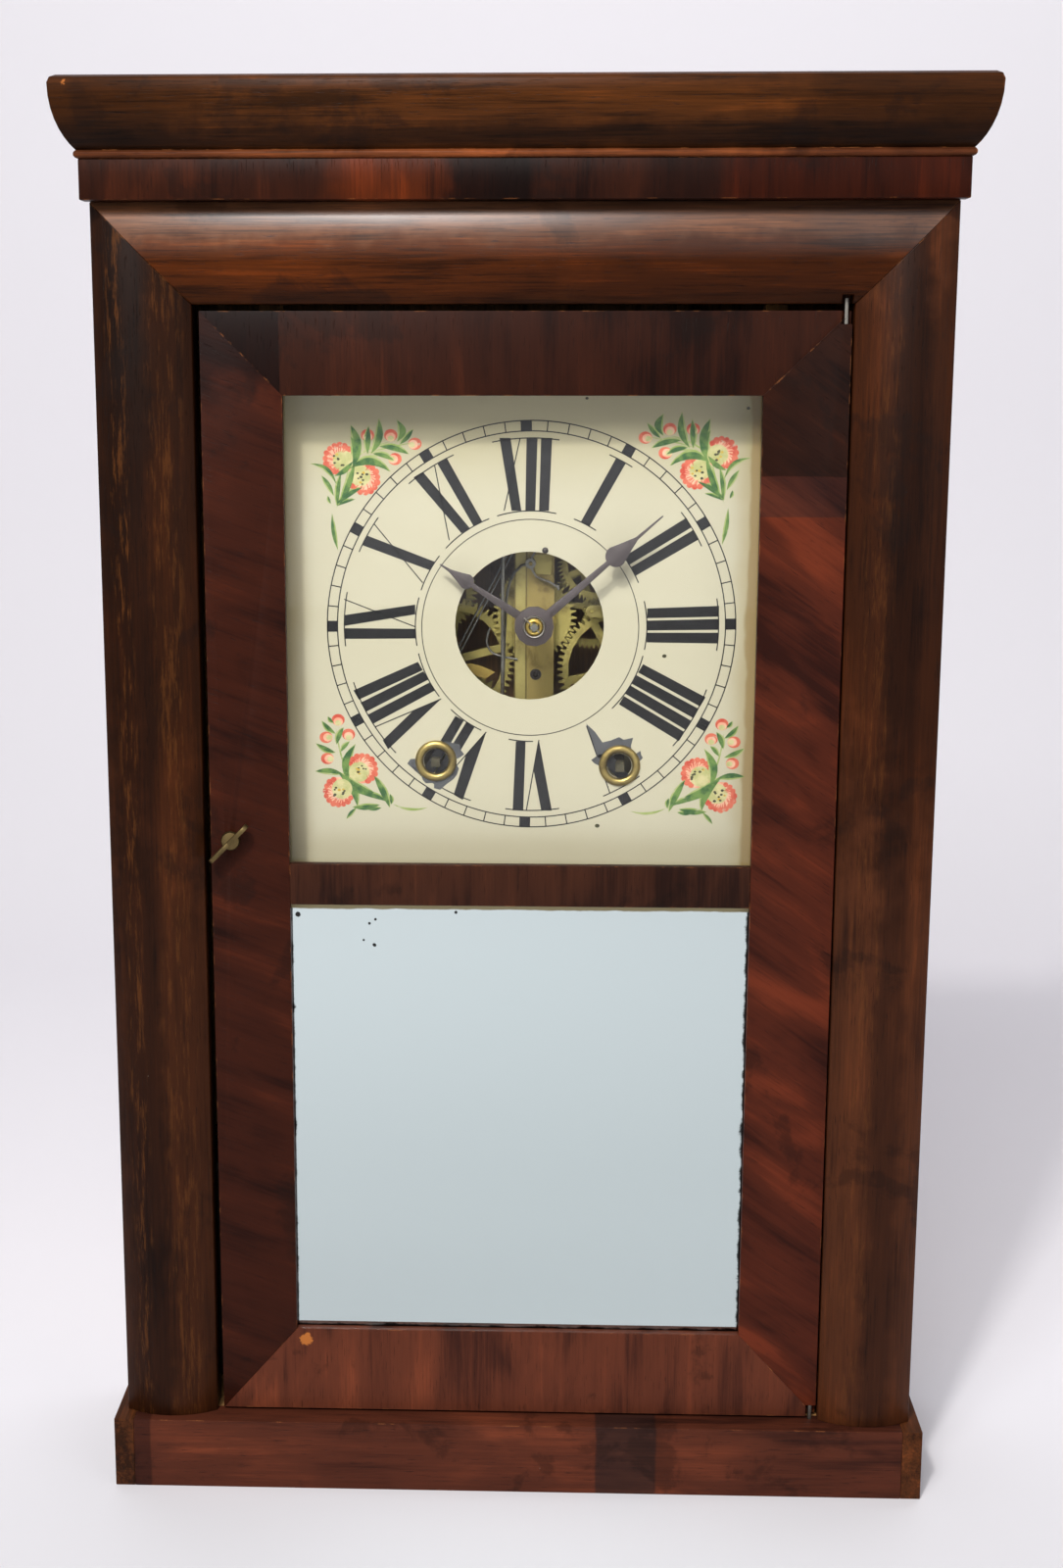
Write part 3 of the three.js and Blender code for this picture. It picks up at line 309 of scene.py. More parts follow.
def band_patch(axis, low_mm, high_mm, soft_mm, tone, amount=1.0):
    """A band between two places along an axis, its colour multiplied by a tone."""
    def mask(f):
        along = f.axis(f.where, axis)
        along = f.math("ADD", along, f.swing(f.noise(f.where, 60, 3), soft_mm * MM * 3))
        up = f.fade(along, (low_mm - soft_mm) * MM, (low_mm + soft_mm) * MM)
        down = f.fade(along, (high_mm - soft_mm) * MM, (high_mm + soft_mm) * MM)
        return f.math("MULTIPLY", f.math("SUBTRACT", up, down), amount)
    return (mask, tone, "MULTIPLY")


def rubbed_patch(axis, low_mm, high_mm, soft_mm, colour, stretch, amount=0.6):
    """Varnish rubbed through along the grain, in broken flecks inside a band."""
    band = band_patch(axis, low_mm, high_mm, soft_mm, colour, amount)[0]

    def mask(f):
        flecks = f.noise(f.place(f.where, stretch), 420, 5, 0.75)
        return f.math("MULTIPLY", band(f), f.fade(flecks, 0.5, 0.64))
    return (mask, colour, "MIX")


# ------------------------ the wooden solids
ORANGE = srgb("a8632f")
RUBBED = srgb("7d4a22")
RED_BROWN = srgb("8a4a2a")
NAIL = srgb("2e2622")
DARKER = (0.4, 0.42, 0.5)
NEAR_BLACK = (0.16, 0.18, 0.24)
UP_GRAIN = (1, 1, 0.1)

CORNICE = ["cornice_front", "cornice_return_left", "cornice_return_right"]
SIDE_BOARDS = ["side_board_left", "side_board_right"]
BASE_SIDES = ["base_side_left", "base_side_right"]
LEVEL_BOARDS = ["top_board", "bottom_board"]
DIAL_SUPPORTS = ["dial_strip_left", "dial_strip_right", "movement_rail_left", "movement_rail_right"]


def dress(material, *names):
    """Gives CAD nodes their finish."""
    for name in names:
        slots = NODES[name].data.materials
        slots.clear()
        slots.append(material)


# Over the cornice's own grain and chips, its lower part above the bead is darkened as painted shade where it
# faces down, and the bead is lightened and cooled as a painted highlight.
dress(wood("cornice_walnut", "x", "4a270d", 0.0, 0.7, 1.0, patches=[
    band_patch("X", -260, -140, 35, DARKER, 0.8), band_patch("X", 115, 260, 35, DARKER, 0.85),
    band_patch("Z", 651, 661, 4, DARKER), band_patch("Z", 640, 651.2, 0.3, (2.8, 2.6, 4.0)),
    spot_patch((-202.5, -61, 678.9), 1.7, ORANGE), spot_patch((208.5, -60, 680.0), 1.7, ORANGE)]), *CORNICE)
# The left moulding's upper part is darkened as painted shade from above.
dress(wood("left_moulding_walnut", "z", "3a1d0d", 0.3, 0.6, 0.6, patches=[
    band_patch("Z", 330, 640, 70, (0.5, 0.5, 0.45)), band_patch("X", -194, -172, 5, DARKER, 0.8),
    rubbed_patch("X", -190, -182, 2, RUBBED, UP_GRAIN, 0.3),
    rubbed_patch("X", -171, -158, 4, RUBBED, UP_GRAIN, 0.22),
    spot_patch((-186, -41.5, 611.6), 2.6, ORANGE)]), "moulding_left")
# The right moulding's upper part is darkened as painted shade from above.
dress(wood("right_moulding_walnut", "z", "4b2816", 0.9, 0.6, 0.6, patches=[
    band_patch("Z", 330, 640, 70, (0.45, 0.42, 0.36)), band_patch("X", 170, 186, 4, DARKER, 0.8),
    rubbed_patch("X", 160, 172, 3, RUBBED, UP_GRAIN, 0.15),
    spot_patch((184.5, -42.5, 41.7), 2.8, RED_BROWN)]), "moulding_right")
# The top moulding's upper part is lightened to a pale bluish white, a painted highlight together with a
# whitish bloom on the varnish; its lower edge is darkened as painted shade where it turns down.
dress(wood("top_moulding_walnut", "x", "52280c", 0.1, 0.6, 1.0, shine=0.3, varnish=606, patches=[
    band_patch("Z", 614, 640, 6, (3.2, 6.0, 18.0), 0.5), band_patch("Z", 580, 590, 3, DARKER, 0.6),
    band_patch("X", 10, 210, 50, DARKER, 0.7), band_patch("Z", 588, 606, 5, (0.85, 0.75, 0.6))]),
      "moulding_top")
dress(wood("case_side_walnut", "z", "3b2111", 0.5, 0.9, 1.1, shine=0.42), *SIDE_BOARDS)
dress(wood("base_side_walnut", "y", "4c2914", 0.8, 0.9, 1.1, shine=0.42), *BASE_SIDES)
dress(wood("frieze_mahogany", "z", "2a1209", 0.2, 1.3, 0.5, patches=[
    band_patch("X", -84, -32, 12, (2.8, 2.0, 1.0)), band_patch("X", -30, 6, 4, NEAR_BLACK, 0.9),
    band_patch("X", 60, 90, 8, DARKER, 0.8), band_patch("X", 90, 260, 8, (1.15, 0.75, 0.5))]),
      "frieze_board")
dress(wood("base_mahogany", "x", "50281b", 0.4, 0.9, 0.45, shine=0.42, patches=[
    band_patch("X", 40, 70, 0.8, (0.42, 0.62, 0.9)), band_patch("X", -200, -184, 0.6, DARKER, 0.8)]),
      "base_front")
# The left stile is darkened at its top as a painted shadow of the cornice and mouldings.
dress(wood("door_left_mahogany", "x", "35160c", 0.7, 1.1, 0.4, -20, patches=[
    band_patch("Z", 545, 640, 14, (0.24, 0.22, 0.22))]), "door_stile_left")
# The right stile's upper part is darkened in two steps as painted shade from above.
dress(wood("door_right_mahogany", "x", "471e12", 0.1, 1.4, 0.4, -35, patches=[
    band_patch("Z", 487.6, 506, 0.4, (0.6, 0.8, 1.1)),
    band_patch("Z", 506, 640, 0.4, (0.27, 0.38, 0.42))]), "door_stile_right")
# The top rail's left end is darkened as a painted shadow of the cornice and mouldings.
dress(wood("door_top_mahogany", "z", "2d140b", 0.9, 0.9, 0.4, patches=[
    band_patch("X", -160, -111.6, 0.4, (0.3, 0.28, 0.3))]), "door_rail_top")
dress(wood("door_middle_mahogany", "z", "3b2015", 0.3, 0.9, 0.45), "door_rail_middle")
dress(wood("door_bottom_mahogany", "z", "5a2e1f", 0.2, 1.0, 0.4, shine=0.4, patches=[
    spot_patch((-105.9, -39.5, 75.0), 3.2, ORANGE), band_patch("X", -170, -135, 8, DARKER, 0.5)]),
      "door_rail_bottom")

PINE = {"figure": 0.5, "streaks": 0.6, "shine": 0.7, "wear": 0.1}
NAILS = [(side * 179, 62.5, height) for side in (-1, 1) for height in (52, 190, 330, 470, 612)]
dress(wood("old_pine", "z", "8f6a42", **PINE), *DIAL_SUPPORTS, "mirror_backing")
dress(wood("backboard_pine", "z", "a2805a", 0.3, **PINE, patches=[
    spot_patch(nail, 1.9, NAIL, 0.2) for nail in NAILS]), "backboard")
dress(wood("old_pine_level", "x", "8f6a42", **PINE), *LEVEL_BOARDS)


# ------------------------ metal, glass and paint finishes
def metal(name, clean, tarnish, roughness=0.38, amount=0.5, metallic=1.0, scale=45, patches=()):
    """Old metal, stained and specked, with patches over it."""
    f = Finish(name)
    cloud = f.noise(f.where, scale, 6, 0.62, 0.4)
    specks = f.scuffs(scale * 6, 0.68)
    stain = f.fade(cloud, 0.72 - amount * 0.5, 0.95 - amount * 0.4)
    colour = f.blend(stain, srgb(clean), srgb(tarnish))
    colour = lay_patches(f, f.cover(colour, specks, 0.7, srgb("2c2318")), patches)
    brushed = f.noise(f.place(f.where, (1, 1, 0.05)), 1500, 2)
    rough = f.math("ADD", f.scale_to(stain, roughness, roughness + 0.25), f.math("MULTIPLY", brushed, 0.08))
    f.set(Base_Color=colour, Roughness=rough, Metallic=metallic)
    f.relief(f.math("SUBTRACT", brushed, specks), 0.03, 0.6)
    return f.material


brass = {
    "plate": metal("aged_plate_brass", "a4985c", "6c5d34", 0.45, 0.5, 0.6, 60, [
        band_patch("X", 2.2, 3.0, 0.15, (0.45, 0.4, 0.35)),
        band_patch("X", -3.4, -2.6, 0.2, (0.5, 0.45, 0.4)),
        band_patch("X", 3, 20, 0.6, (0.82, 0.74, 0.66))]),
    "back": metal("back_plate_brass", "d8c88a", "a8925c", 0.5, 0.4, 0.4, 60),
    "wheel": metal("wheel_brass", "b2a45e", "75663a", 0.4, 0.5, 0.6, 70),
    "hour": metal("hour_wheel_brass", "b09c4e", "7a6a36", 0.42, 0.5, 0.6),
    "drum": metal("drum_brass", "8c7a48", "4c4028", 0.45, 0.6, 0.7, 45, [
        band_patch("Y", -60, 5, 0.5, (0.42, 0.5, 0.85))]),
    "bright": metal("washer_brass", "c4a85c", "7d6638", 0.3, 0.45),
    "latch": metal("latch_brass", "6a5a3a", "3c3222", 0.4, 0.5),
    "bob": metal("bob_brass", "c0a566", "7c6238", 0.3, 0.45),
    "eyelet": metal("eyelet_brass", "9a8750", "62532e", 0.34, 0.6, 0.9),
}
steel = metal("old_steel", "77756e", "4d443a", 0.38, 0.5, 0.8)
bright_steel = metal("wire_steel", "8e8980", "5a534b", 0.36, 0.4)
dark_iron = metal("dark_iron", "3c3735", "2b2523", 0.5, 0.4, 0.6)
hand_steel = metal("hand_steel", "4a4242", "393232", 0.5, 0.5, 0.4)
iron = metal("cast_iron", "3f3a37", "5b4030", 0.6, 0.5, 0.8)
gong_steel = metal("gong_steel", "6c6a6e", "4d4038", 0.4, 0.5)


def dial_finish():
    """Old cream paint on zinc, yellowed towards its sides, foot and right edge, with painted shade across
    its top.
    """
    f = Finish("dial_cream_paint")
    low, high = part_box("dial")
    cloud = f.noise(f.where, 14, 4, 0.6)
    colour = f.blend(cloud, srgb("d1cbb1"), srgb("c6bfa2"))
    x, z = f.axis(f.where, "X"), f.axis(f.where, "Z")
    wander = f.math("MULTIPLY", f.noise(f.where, 40, 3), 8 * MM)
    sides = f.fade(f.math("ADD", f.math("ABSOLUTE", x), wander), high.x - 21 * MM, high.x - 8 * MM)
    colour = f.cover(colour, sides, 0.6, srgb("a58f58"))
    # Darker and yellower across the top: painted shade where the door's top rail shades the dial.
    head = f.fade(f.math("ADD", z, wander), high.z - 62 * MM, high.z - 22 * MM)
    colour = f.cover(colour, head, 0.5, srgb("a69a68"))
    foot = f.fade(f.math("SUBTRACT", low.z + 30 * MM, z), 0.0, 18 * MM)
    colour = f.cover(colour, foot, 0.3, srgb("b0a070"))
    rim = f.fade(f.math("SUBTRACT", x, wander), 103 * MM, 105 * MM)
    colour = f.cover(colour, rim, 0.6, srgb("8a6a2c"))
    colour = f.cover(colour, f.scuffs(330, 0.71), 0.6, srgb("8b7f66"))
    f.set(Base_Color=colour, Roughness=0.62, Specular_IOR_Level=0.3)
    f.relief(f.noise(f.where, 300, 3), 0.02)
    return f.material


def paint(name, colour, other, least=0.66, under="d0caae"):
    """Brushed decoration on the dial in two tones, thinned where it is rubbed."""
    f = Finish(name)
    tone = f.blend(f.fade(f.noise(f.where, 190, 3), 0.35, 0.65), srgb(colour), srgb(other))
    worn = f.cover(tone, f.scuffs(260, least), 0.6, srgb(under))
    f.set(Base_Color=worn, Roughness=0.6, Specular_IOR_Level=0.3)
    return f.material


# Larger spots where the mirror has lost its silver, as x, z and radius in mm.
MIRROR_SPOTS = [(-107.4, 294.3, 1.3), (-70.2, 279.4, 0.9), (-69.6, 292.2, 0.7), (-72.5, 290.2, 0.6),
                (-75.4, 281.8, 0.5), (-30.5, 296.1, 0.7)]


def mirror_finish():
    """Silvered glass that has lost some silver at the edges and in specks, with a line of putty on top."""
    f = Finish("old_mirror")
    low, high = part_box("mirror")
    x, z = f.axis(f.where, "X"), f.axis(f.where, "Z")
    inside = f.math("MINIMUM", f.math("SUBTRACT", high.x, f.math("ABSOLUTE", x)),
                    f.math("MINIMUM", f.math("SUBTRACT", z, low.z), f.math("SUBTRACT", high.z, z)))
    ragged = f.math("ADD", inside, f.math("MULTIPLY", f.noise(f.where, 120, 5, 0.7), -5 * MM))
    lost = f.math("SUBTRACT", 1.0, f.fade(ragged, 2.4 * MM, 3.6 * MM))
    lost = f.math("MAXIMUM", lost, f.scuffs(190, 0.745))
    for spot_x, spot_z, radius in MIRROR_SPOTS:
        lost = f.math("MAXIMUM", lost, f.spot((spot_x, low.y / MM, spot_z), radius, 0.8))
    colour = f.blend(lost, (0.60, 0.68, 0.68), (0.03, 0.03, 0.03))
    top = 298.4 * MM
    putty = f.fade(f.math("ADD", z, f.math("MULTIPLY", f.noise(f.where, 90, 4), 1.6 * MM)),
                   top - 0.4 * MM, top + 0.3 * MM)
    colour = f.blend(putty, colour, srgb("b3a67c"))
    f.set(Base_Color=colour, Roughness=f.scale_to(putty, 0.06, 0.7),
          Metallic=f.math("SUBTRACT", 1.0, putty))
    return f.material


def glass_finish():
    f = Finish("old_sheet_glass", Base_Color=(0.98, 0.99, 0.98), Roughness=0.02, IOR=1.32)
    f.set(Transmission_Weight=1.0)
    rays = f.add("LightPath").outputs
    through = f.math("MAXIMUM", rays["Is Shadow Ray"], rays["Is Diffuse Ray"])
    clear = f.add("BsdfTransparent").outputs[0]
    mixed = f.add("MixShader", {0: through, 1: f.shader.outputs[0], 2: clear}).outputs[0]
    f.feed(f.tree.nodes["Material Output"].inputs["Surface"], mixed)
    return f.material


black_ink = paint("dial_black", "060607", "131214", 0.74)
red_paint = paint("dial_coral", "df7458", "cc4c36", 0.6)
blush_paint = paint("dial_blush", "f0c3a2", "ec9f80", 0.6)
eye_paint = paint("dial_flower_eye", "d9cf98", "bcbb7a", 0.7)
green_paint = paint("dial_green", "2f5a2c", "6f8f45", 0.66)
stem_paint = paint("dial_stem", "8fa552", "b0b878", 0.6)
dot_paint = paint("dial_dark_dot", "38351f", "4b4a2c", 0.8)
yellow_paint = paint("dial_yellow", "c9a42c", "d0b552", 0.7)
bare_zinc = metal("bared_zinc", "545557", "3d3e41", 0.6, 0.5, 0.3, 120)
dial_paint = dial_finish()
mirror_silver = mirror_finish()
clear_glass = glass_finish()


WHEELS = ["centre_arbor", "minute_wheel", "second_wheel", "third_wheel", "escape_wheel", "great_wheel_time",
          "great_wheel_strike", "pin_wheel", "warning_wheel", "fly", "count_wheel"]
DRUMS = ["drum_time", "drum_strike", "pulley_left", "pulley_right"]
STRIKERS = ["hammer", "pendulum_rod", "verge"]
HINGE_PINS = ["hinge_pin_top", "hinge_pin_bottom"]
HANDS = ["hour_hand", "minute_hand"]
CASTINGS = ["weight_left", "weight_right", "gong_post"]

dress(brass["plate"], "front_plate")
dress(brass["back"], "back_plate", "suspension_post")
dress(brass["hour"], "hour_wheel")
dress(brass["wheel"], *WHEELS)
dress(brass["drum"], *DRUMS)
dress(brass["latch"], "latch")
dress(brass["bob"], "pendulum_bob")
dress(steel, *STRIKERS)
dress(bright_steel, *HINGE_PINS)
dress(hand_steel, *HANDS)
dress(iron, *CASTINGS)
dress(gong_steel, "gong_coil")
dress(dial_paint, "dial")
dress(mirror_silver, "mirror")
dress(clear_glass, "door_glass")


# ------------------------ softened edges on the solids
def soften(names, width_mm, segments=2, angle=32):
    """Rounds a solid's edges a little and shades its curved faces smooth."""
    for name in names:
        piece = NODES[name]
        weld = piece.modifiers.new("weld", "WELD")
        weld.merge_threshold = 0.01 * MM
        if width_mm:
            bevel = piece.modifiers.new("edge", "BEVEL")
            bevel.width = width_mm * MM
            bevel.segments = segments
            bevel.limit_method = "ANGLE"
            bevel.angle_limit = math.radians(angle)
            bevel.miter_outer = "MITER_ARC"
            bevel.harden_normals = False
        for face in piece.data.polygons:
            face.use_smooth = True
        split = piece.modifiers.new("creases", "EDGE_SPLIT")
        split.split_angle = math.radians(angle)
        split.use_edge_sharp = False


MITRED = ["moulding_left", "moulding_right", "moulding_top", "door_stile_left", "door_stile_right",
          "door_rail_top", "door_rail_middle", "door_rail_bottom"]
soften([*CORNICE, "frieze_board", "base_front", *BASE_SIDES, *MITRED], 0.5)
soften([*SIDE_BOARDS, *LEVEL_BOARDS, "backboard", *DIAL_SUPPORTS], 0.4, 1)
soften(HANDS, 0.18)
soften(["latch"], 0.25)
soften(["front_plate", "back_plate", "suspension_post"], 0.15, 1)
soften(["hour_wheel", *WHEELS, *DRUMS, *STRIKERS, "gong_coil", *CASTINGS, "pendulum_bob", *HINGE_PINS], 0)


# ------------------------ making pieces
def new_object(name, data):
    made = bpy.data.objects.new(name, data)
    bpy.context.scene.collection.objects.link(made)
    return made


def new_mesh(bm, name, material, smooth):
    """Turns a bmesh into a mesh object of one material."""
    data = bpy.data.meshes.new(name)
    bm.to_mesh(data)
    bm.free()
    data.materials.append(material)
    for face in data.polygons:
        face.use_smooth = smooth
    return new_object(name, data)


def finish_piece(bm, name, material, body, smooth=False):
    """A piece that rides on a body of the clock."""
    piece = new_mesh(bm, name, material, smooth)
    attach(piece, body)
    return piece


def add_curve(bm, curve, place=Matrix()):
    """Adds a curve's mesh to a bmesh and deletes the curve."""
    holder = bpy.data.objects.new(curve.name, curve)
    mesh = bpy.data.meshes.new_from_object(holder)
    mesh.transform(place)
    bm.from_mesh(mesh)
    bpy.data.objects.remove(holder)
    bpy.data.curves.remove(curve)
    bpy.data.meshes.remove(mesh)


def push_out(bm, made, along):
    """Moves the vertices that an extrusion has just made."""
    verts = [g for g in made if isinstance(g, bmesh.types.BMVert)]
    bmesh.ops.translate(bm, verts=verts, vec=along)


def spin_about_depth(bm, centre, steps, join_mm):
    """Spins a profile about a front-to-back axis through the origin, then moves it to its centre."""
    bmesh.ops.spin(bm, geom=bm.verts[:] + bm.edges[:], cent=(0, 0, 0), axis=(0, 1, 0), angle=TURN,
                   steps=steps, use_merge=True)
    bmesh.ops.remove_doubles(bm, verts=bm.verts, dist=join_mm * MM)
    bmesh.ops.recalc_face_normals(bm, faces=bm.faces)
    bmesh.ops.translate(bm, verts=bm.verts, vec=centre)


# ------------------------ the dial's print
# The dial is pinned a little off the arbor, so its print has centres of its own.
PRINT = ARBOR + Vector((-1.6, 0, -1.6)) * MM
INNER_PRINT = ARBOR + Vector((-2.0, 0, -2.1)) * MM
# Radii in mm: the minute track, the numerals' feet and heads, the inner circle, and where a V's strokes
# meet and part.
TRACK = (93.3, 98.2)
NUMERAL = (55.7, 90.0)
INNER_CIRCLE = 52.2
APEX = 55.0
CROTCH = 69.8
# Widths of strokes in mm, and how far a serif runs past them.
HAIR, INNER_HAIR = 0.55, 0.4
BLOCK = 5.3
THICK_HEAD, THICK_FOOT = 5.2, 4.7
SERIF_REACH = 3.6
# How far in front of the dial each coat of paint lies, in mm.
COATS = {"patch": 0.03, "ink": 0.05, "petal": 0.04, "flower": 0.06, "leaf": 0.08, "dot": 0.1}


def on_dial(centre, coat, turn=0.0):
    """A place just in front of the dial in mm: x across, z up, turned clockwise."""
    place = Matrix.Translation((centre.x, DIAL_FACE - COATS[coat] * MM, centre.z))
    return place @ Matrix.Rotation(turn, 4, "Y") @ Matrix.Scale(MM, 4)


def patch(bm, place, corners):
    """A flat painted shape, its corners in mm anticlockwise."""
    bm.faces.new([bm.verts.new(place @ Vector((x, 0, z))) for x, z in corners])


def bar(bm, place, foot, head, foot_width, head_width, low, high):
    """A painted stroke from its foot to its head."""
    patch(bm, place, [(foot - foot_width / 2, low), (foot + foot_width / 2, low),
                      (head + head_width / 2, high), (head - head_width / 2, high)])


def arc(bm, centre, inner, outer, start=0.0, sweep=TURN, steps=180):
    """A painted arc round a centre, its angles clockwise from the top."""
    place = on_dial(centre, "ink", start)
    ends = [bm.verts.new(place @ Vector((0, 0, r))) for r in (inner, outer)]
    edge = bm.edges.new(ends)
    bmesh.ops.spin(bm, geom=[*ends, edge], cent=centre, axis=(0, 1, 0), angle=sweep, steps=steps,
                   use_merge=sweep == TURN)


def finish_print(bm, name, material):
    """Print lies on the dial and faces the front."""
    bm.normal_update()
    bmesh.ops.reverse_faces(bm, faces=[face for face in bm.faces if face.normal.y > 0])
    return finish_piece(bm, name, material, "case")


# How far each hour's block strays along the track from its true place, in mm, from twelve round.
STRAY = [-2.8, -2.5, -2.4, -2.0, -1.3, 1.9, 2.5, 1.9, 2.6, 0.1, -1.3, -2.7]


def minute_track():
    bm = bmesh.new()
    low, high = TRACK
    for radius in TRACK:
        arc(bm, PRINT, radius - HAIR / 2, radius + HAIR / 2)
    arc(bm, INNER_PRINT, INNER_CIRCLE - INNER_HAIR / 2, INNER_CIRCLE + INNER_HAIR / 2)
    for minute in range(60):
        hour, part = divmod(minute, 5)
        stray = STRAY[hour] + (STRAY[(hour + 1) % 12] - STRAY[hour]) * part / 5
        place = on_dial(PRINT, "ink", minute * TURN / 60 + stray / high)
        width = HAIR if part else BLOCK
        bar(bm, place, 0, 0, width, width, low, high)
    return finish_print(bm, "minute_track", black_ink)


# Each numeral's strokes: where the thick one has its head and foot, in mm across, then the thin one.
# The thick stroke of a V is a wedge down to the apex, which is its foot and the thin stroke's too.
NUMERALS = [
    [("X", -12.8, -7.2, -5.6, -13.1), ("I", 0.0, -0.6), ("I", 6.9, 5.9)],
    [("I", -3.2, -2.6)],
    [("I", -6.2, -5.1), ("I", 0.5, 1.0)],
    [("I", -8.1, -7.0), ("I", -1.8, -1.1), ("I", 4.8, 4.7)],
    [("I", -10.6, -9.5), ("I", -4.1, -3.3), ("I", 2.7, 2.5), ("I", 9.1, 8.5)],
    [("V", -3.8, 0.3, 6.8)],
    [("V", -8.2, -4.2, 1.7), ("I", 5.8, 4.6)],
    [("V", -11.5, -7.1, -0.3), ("I", 1.9, 1.4), ("I", 7.6, 7.5)],
    [("V", -14.8, -8.7, -4.7), ("I", -0.3, -1.3), ("I", 6.5, 4.9), ("I", 13.4, 10.2)],
    [("I", -3.4, -3.3), ("X", 2.9, 8.4, 13.2, 0.0)],
    [("X", -4.0, 1.7, 5.2, -7.6)],
    [("X", -10.4, -4.1, -1.4, -13.2), ("I", 2.7, 2.6)],
]


def serif(bm, hour, across, radius):
    """A thin line along the ends of a numeral's strokes."""
    start = (min(across) - SERIF_REACH) / radius
    sweep = (max(across) + SERIF_REACH) / radius - start
    arc(bm, PRINT, radius - HAIR / 2, radius + HAIR / 2, hour * TURN / 12 + start, sweep, 16)


def numeral(bm, hour):
    """A radial Roman numeral, its foot to the centre."""
    place = on_dial(PRINT, "ink", hour * TURN / 12)
    low, high = NUMERAL
    heads, feet = [], []
    for letter, head, foot, *thin in NUMERALS[hour]:
        heads += [head - THICK_HEAD / 2, head + THICK_HEAD / 2]
        if letter == "V":
            rise = (CROTCH - APEX) / (high - APEX)
            crotch = foot + (thin[0] - foot) * rise
            patch(bm, place, [(foot, APEX), (crotch, CROTCH), (head + THICK_HEAD / 2, high),
                              (head - THICK_HEAD / 2, high)])
            bar(bm, place, foot, thin[0], HAIR, HAIR, APEX, high)
            heads.append(thin[0])
            continue
        bar(bm, place, foot, head, THICK_FOOT, THICK_HEAD, low, high)
        feet += [foot - THICK_FOOT / 2, foot + THICK_FOOT / 2]
        if letter == "X":
            bar(bm, place, thin[1], thin[0], HAIR, HAIR, low, high)
            heads.append(thin[0])
            feet.append(thin[1])
    serif(bm, hour, heads, high)
    if feet:
        serif(bm, hour, feet, low)


def numerals():
    bm = bmesh.new()
    for hour in range(12):
        numeral(bm, hour)
    return finish_print(bm, "numerals", black_ink)


minute_track()
numerals()


# ------------------------ painted flower sprays
STROKES = itertools.count()
STROKE_RISE = 0.0015
STROKE_LAYERS = 12
UPRIGHT = Matrix.Rotation(math.pi / 2, 4, "X")


def next_rise():
    """Each stroke lies a hair above the one before, so that strokes that cross stay apart."""
    return Matrix.Translation((0, -STROKE_RISE * (next(STROKES) % STROKE_LAYERS), 0))


def brush(bm, place, base, tip, bend, width, longer=0.0):
    """A leaf-shaped brush stroke. A positive bend bows it to the left of its way from base to tip."""
    base, tip = Vector((base[0], base[1], 0)), Vector((tip[0], tip[1], 0))
    base, tip = base.lerp(tip, -longer), tip.lerp(base, -longer)
    along = (tip - base) / 3
    left = Vector((-along.y, along.x, 0)).normalized()
    curve = bpy.data.curves.new("stroke", "CURVE")
    curve.dimensions = "2D"
    curve.fill_mode = "FRONT"
    spline = curve.splines.new("BEZIER")
    spline.bezier_points.add(1)
    spline.use_cyclic_u = True
    spline.resolution_u = 8
    bow = bend * 4 / 3
    belly = width * 2 / 3
    for point, at, way in ((spline.bezier_points[0], base, along), (spline.bezier_points[1], tip, -along)):
        point.handle_left_type = point.handle_right_type = "FREE"
        point.co = at
        near, far = (bow + belly) * left, (bow - belly) * left
        point.handle_right = at + way + (near if way is along else far)
        point.handle_left = at + way + (far if way is along else near)
    add_curve(bm, curve, place @ next_rise() @ UPRIGHT)


def dab(bm, place, x, z, radius, flat=1.0, segments=16):
    """A round dab of paint."""
    at = Matrix.Translation((x, 0, z)) @ UPRIGHT @ Matrix.Scale(flat, 4, (0, 1, 0))
    bmesh.ops.create_circle(bm, cap_ends=True, segments=segments, radius=radius,
                            matrix=place @ next_rise() @ at)


# Leaves as base x, z, tip x, z, bend and width, in mm from the dial's middle, for the two left corners.
# The right corners mirror them.
UPPER_LEAVES = [
    (-77.5, 83, -80.5, 95, -1.2, 3.2), (-73, 84.5, -72.5, 95, 0, 2.4), (-71, 85, -68, 98, -2.2, 3.0),
    (-59, 90, -59, 98, -2.8, 3.0), (-57, 88.5, -52, 94, -0.5, 1.8), (-66, 86.3, -55, 83.5, 1.0, 2.4),
    (-69.5, 83, -61.5, 80.5, 0.7, 2.0), (-80, 76, -64.5, 75, 4.2, 3.4), (-80.5, 78.5, -81, 90, -2.5, 3.6),
    (-88, 73.5, -81, 79, -1.0, 2.4), (-89.5, 70, -99, 77.5, -3.0, 1.6), (-90, 64.5, -94.5, 72, -0.6, 1.8),
    (-87.5, 60, -86, 72.5, 0.5, 1.8), (-86, 61, -80, 77, -0.8, 2.6), (-87, 60, -77, 66.5, 0.8, 2.2),
    (-87, 59, -80, 61.5, 0.4, 1.2), (-90, 53, -88, 39.5, -0.8, 1.6), (-91, 60, -92, 63, 0.1, 1.0)]
UPPER_STEMS = [
    (-88.5, 57, -82, 79, -1, 0.8), (-82, 79, -62, 89, 1.5, 0.8), (-75, 83, -51, 88.5, 0.5, 0.6),
    (-76, 82, -60, 81.5, 0.6, 0.6)]
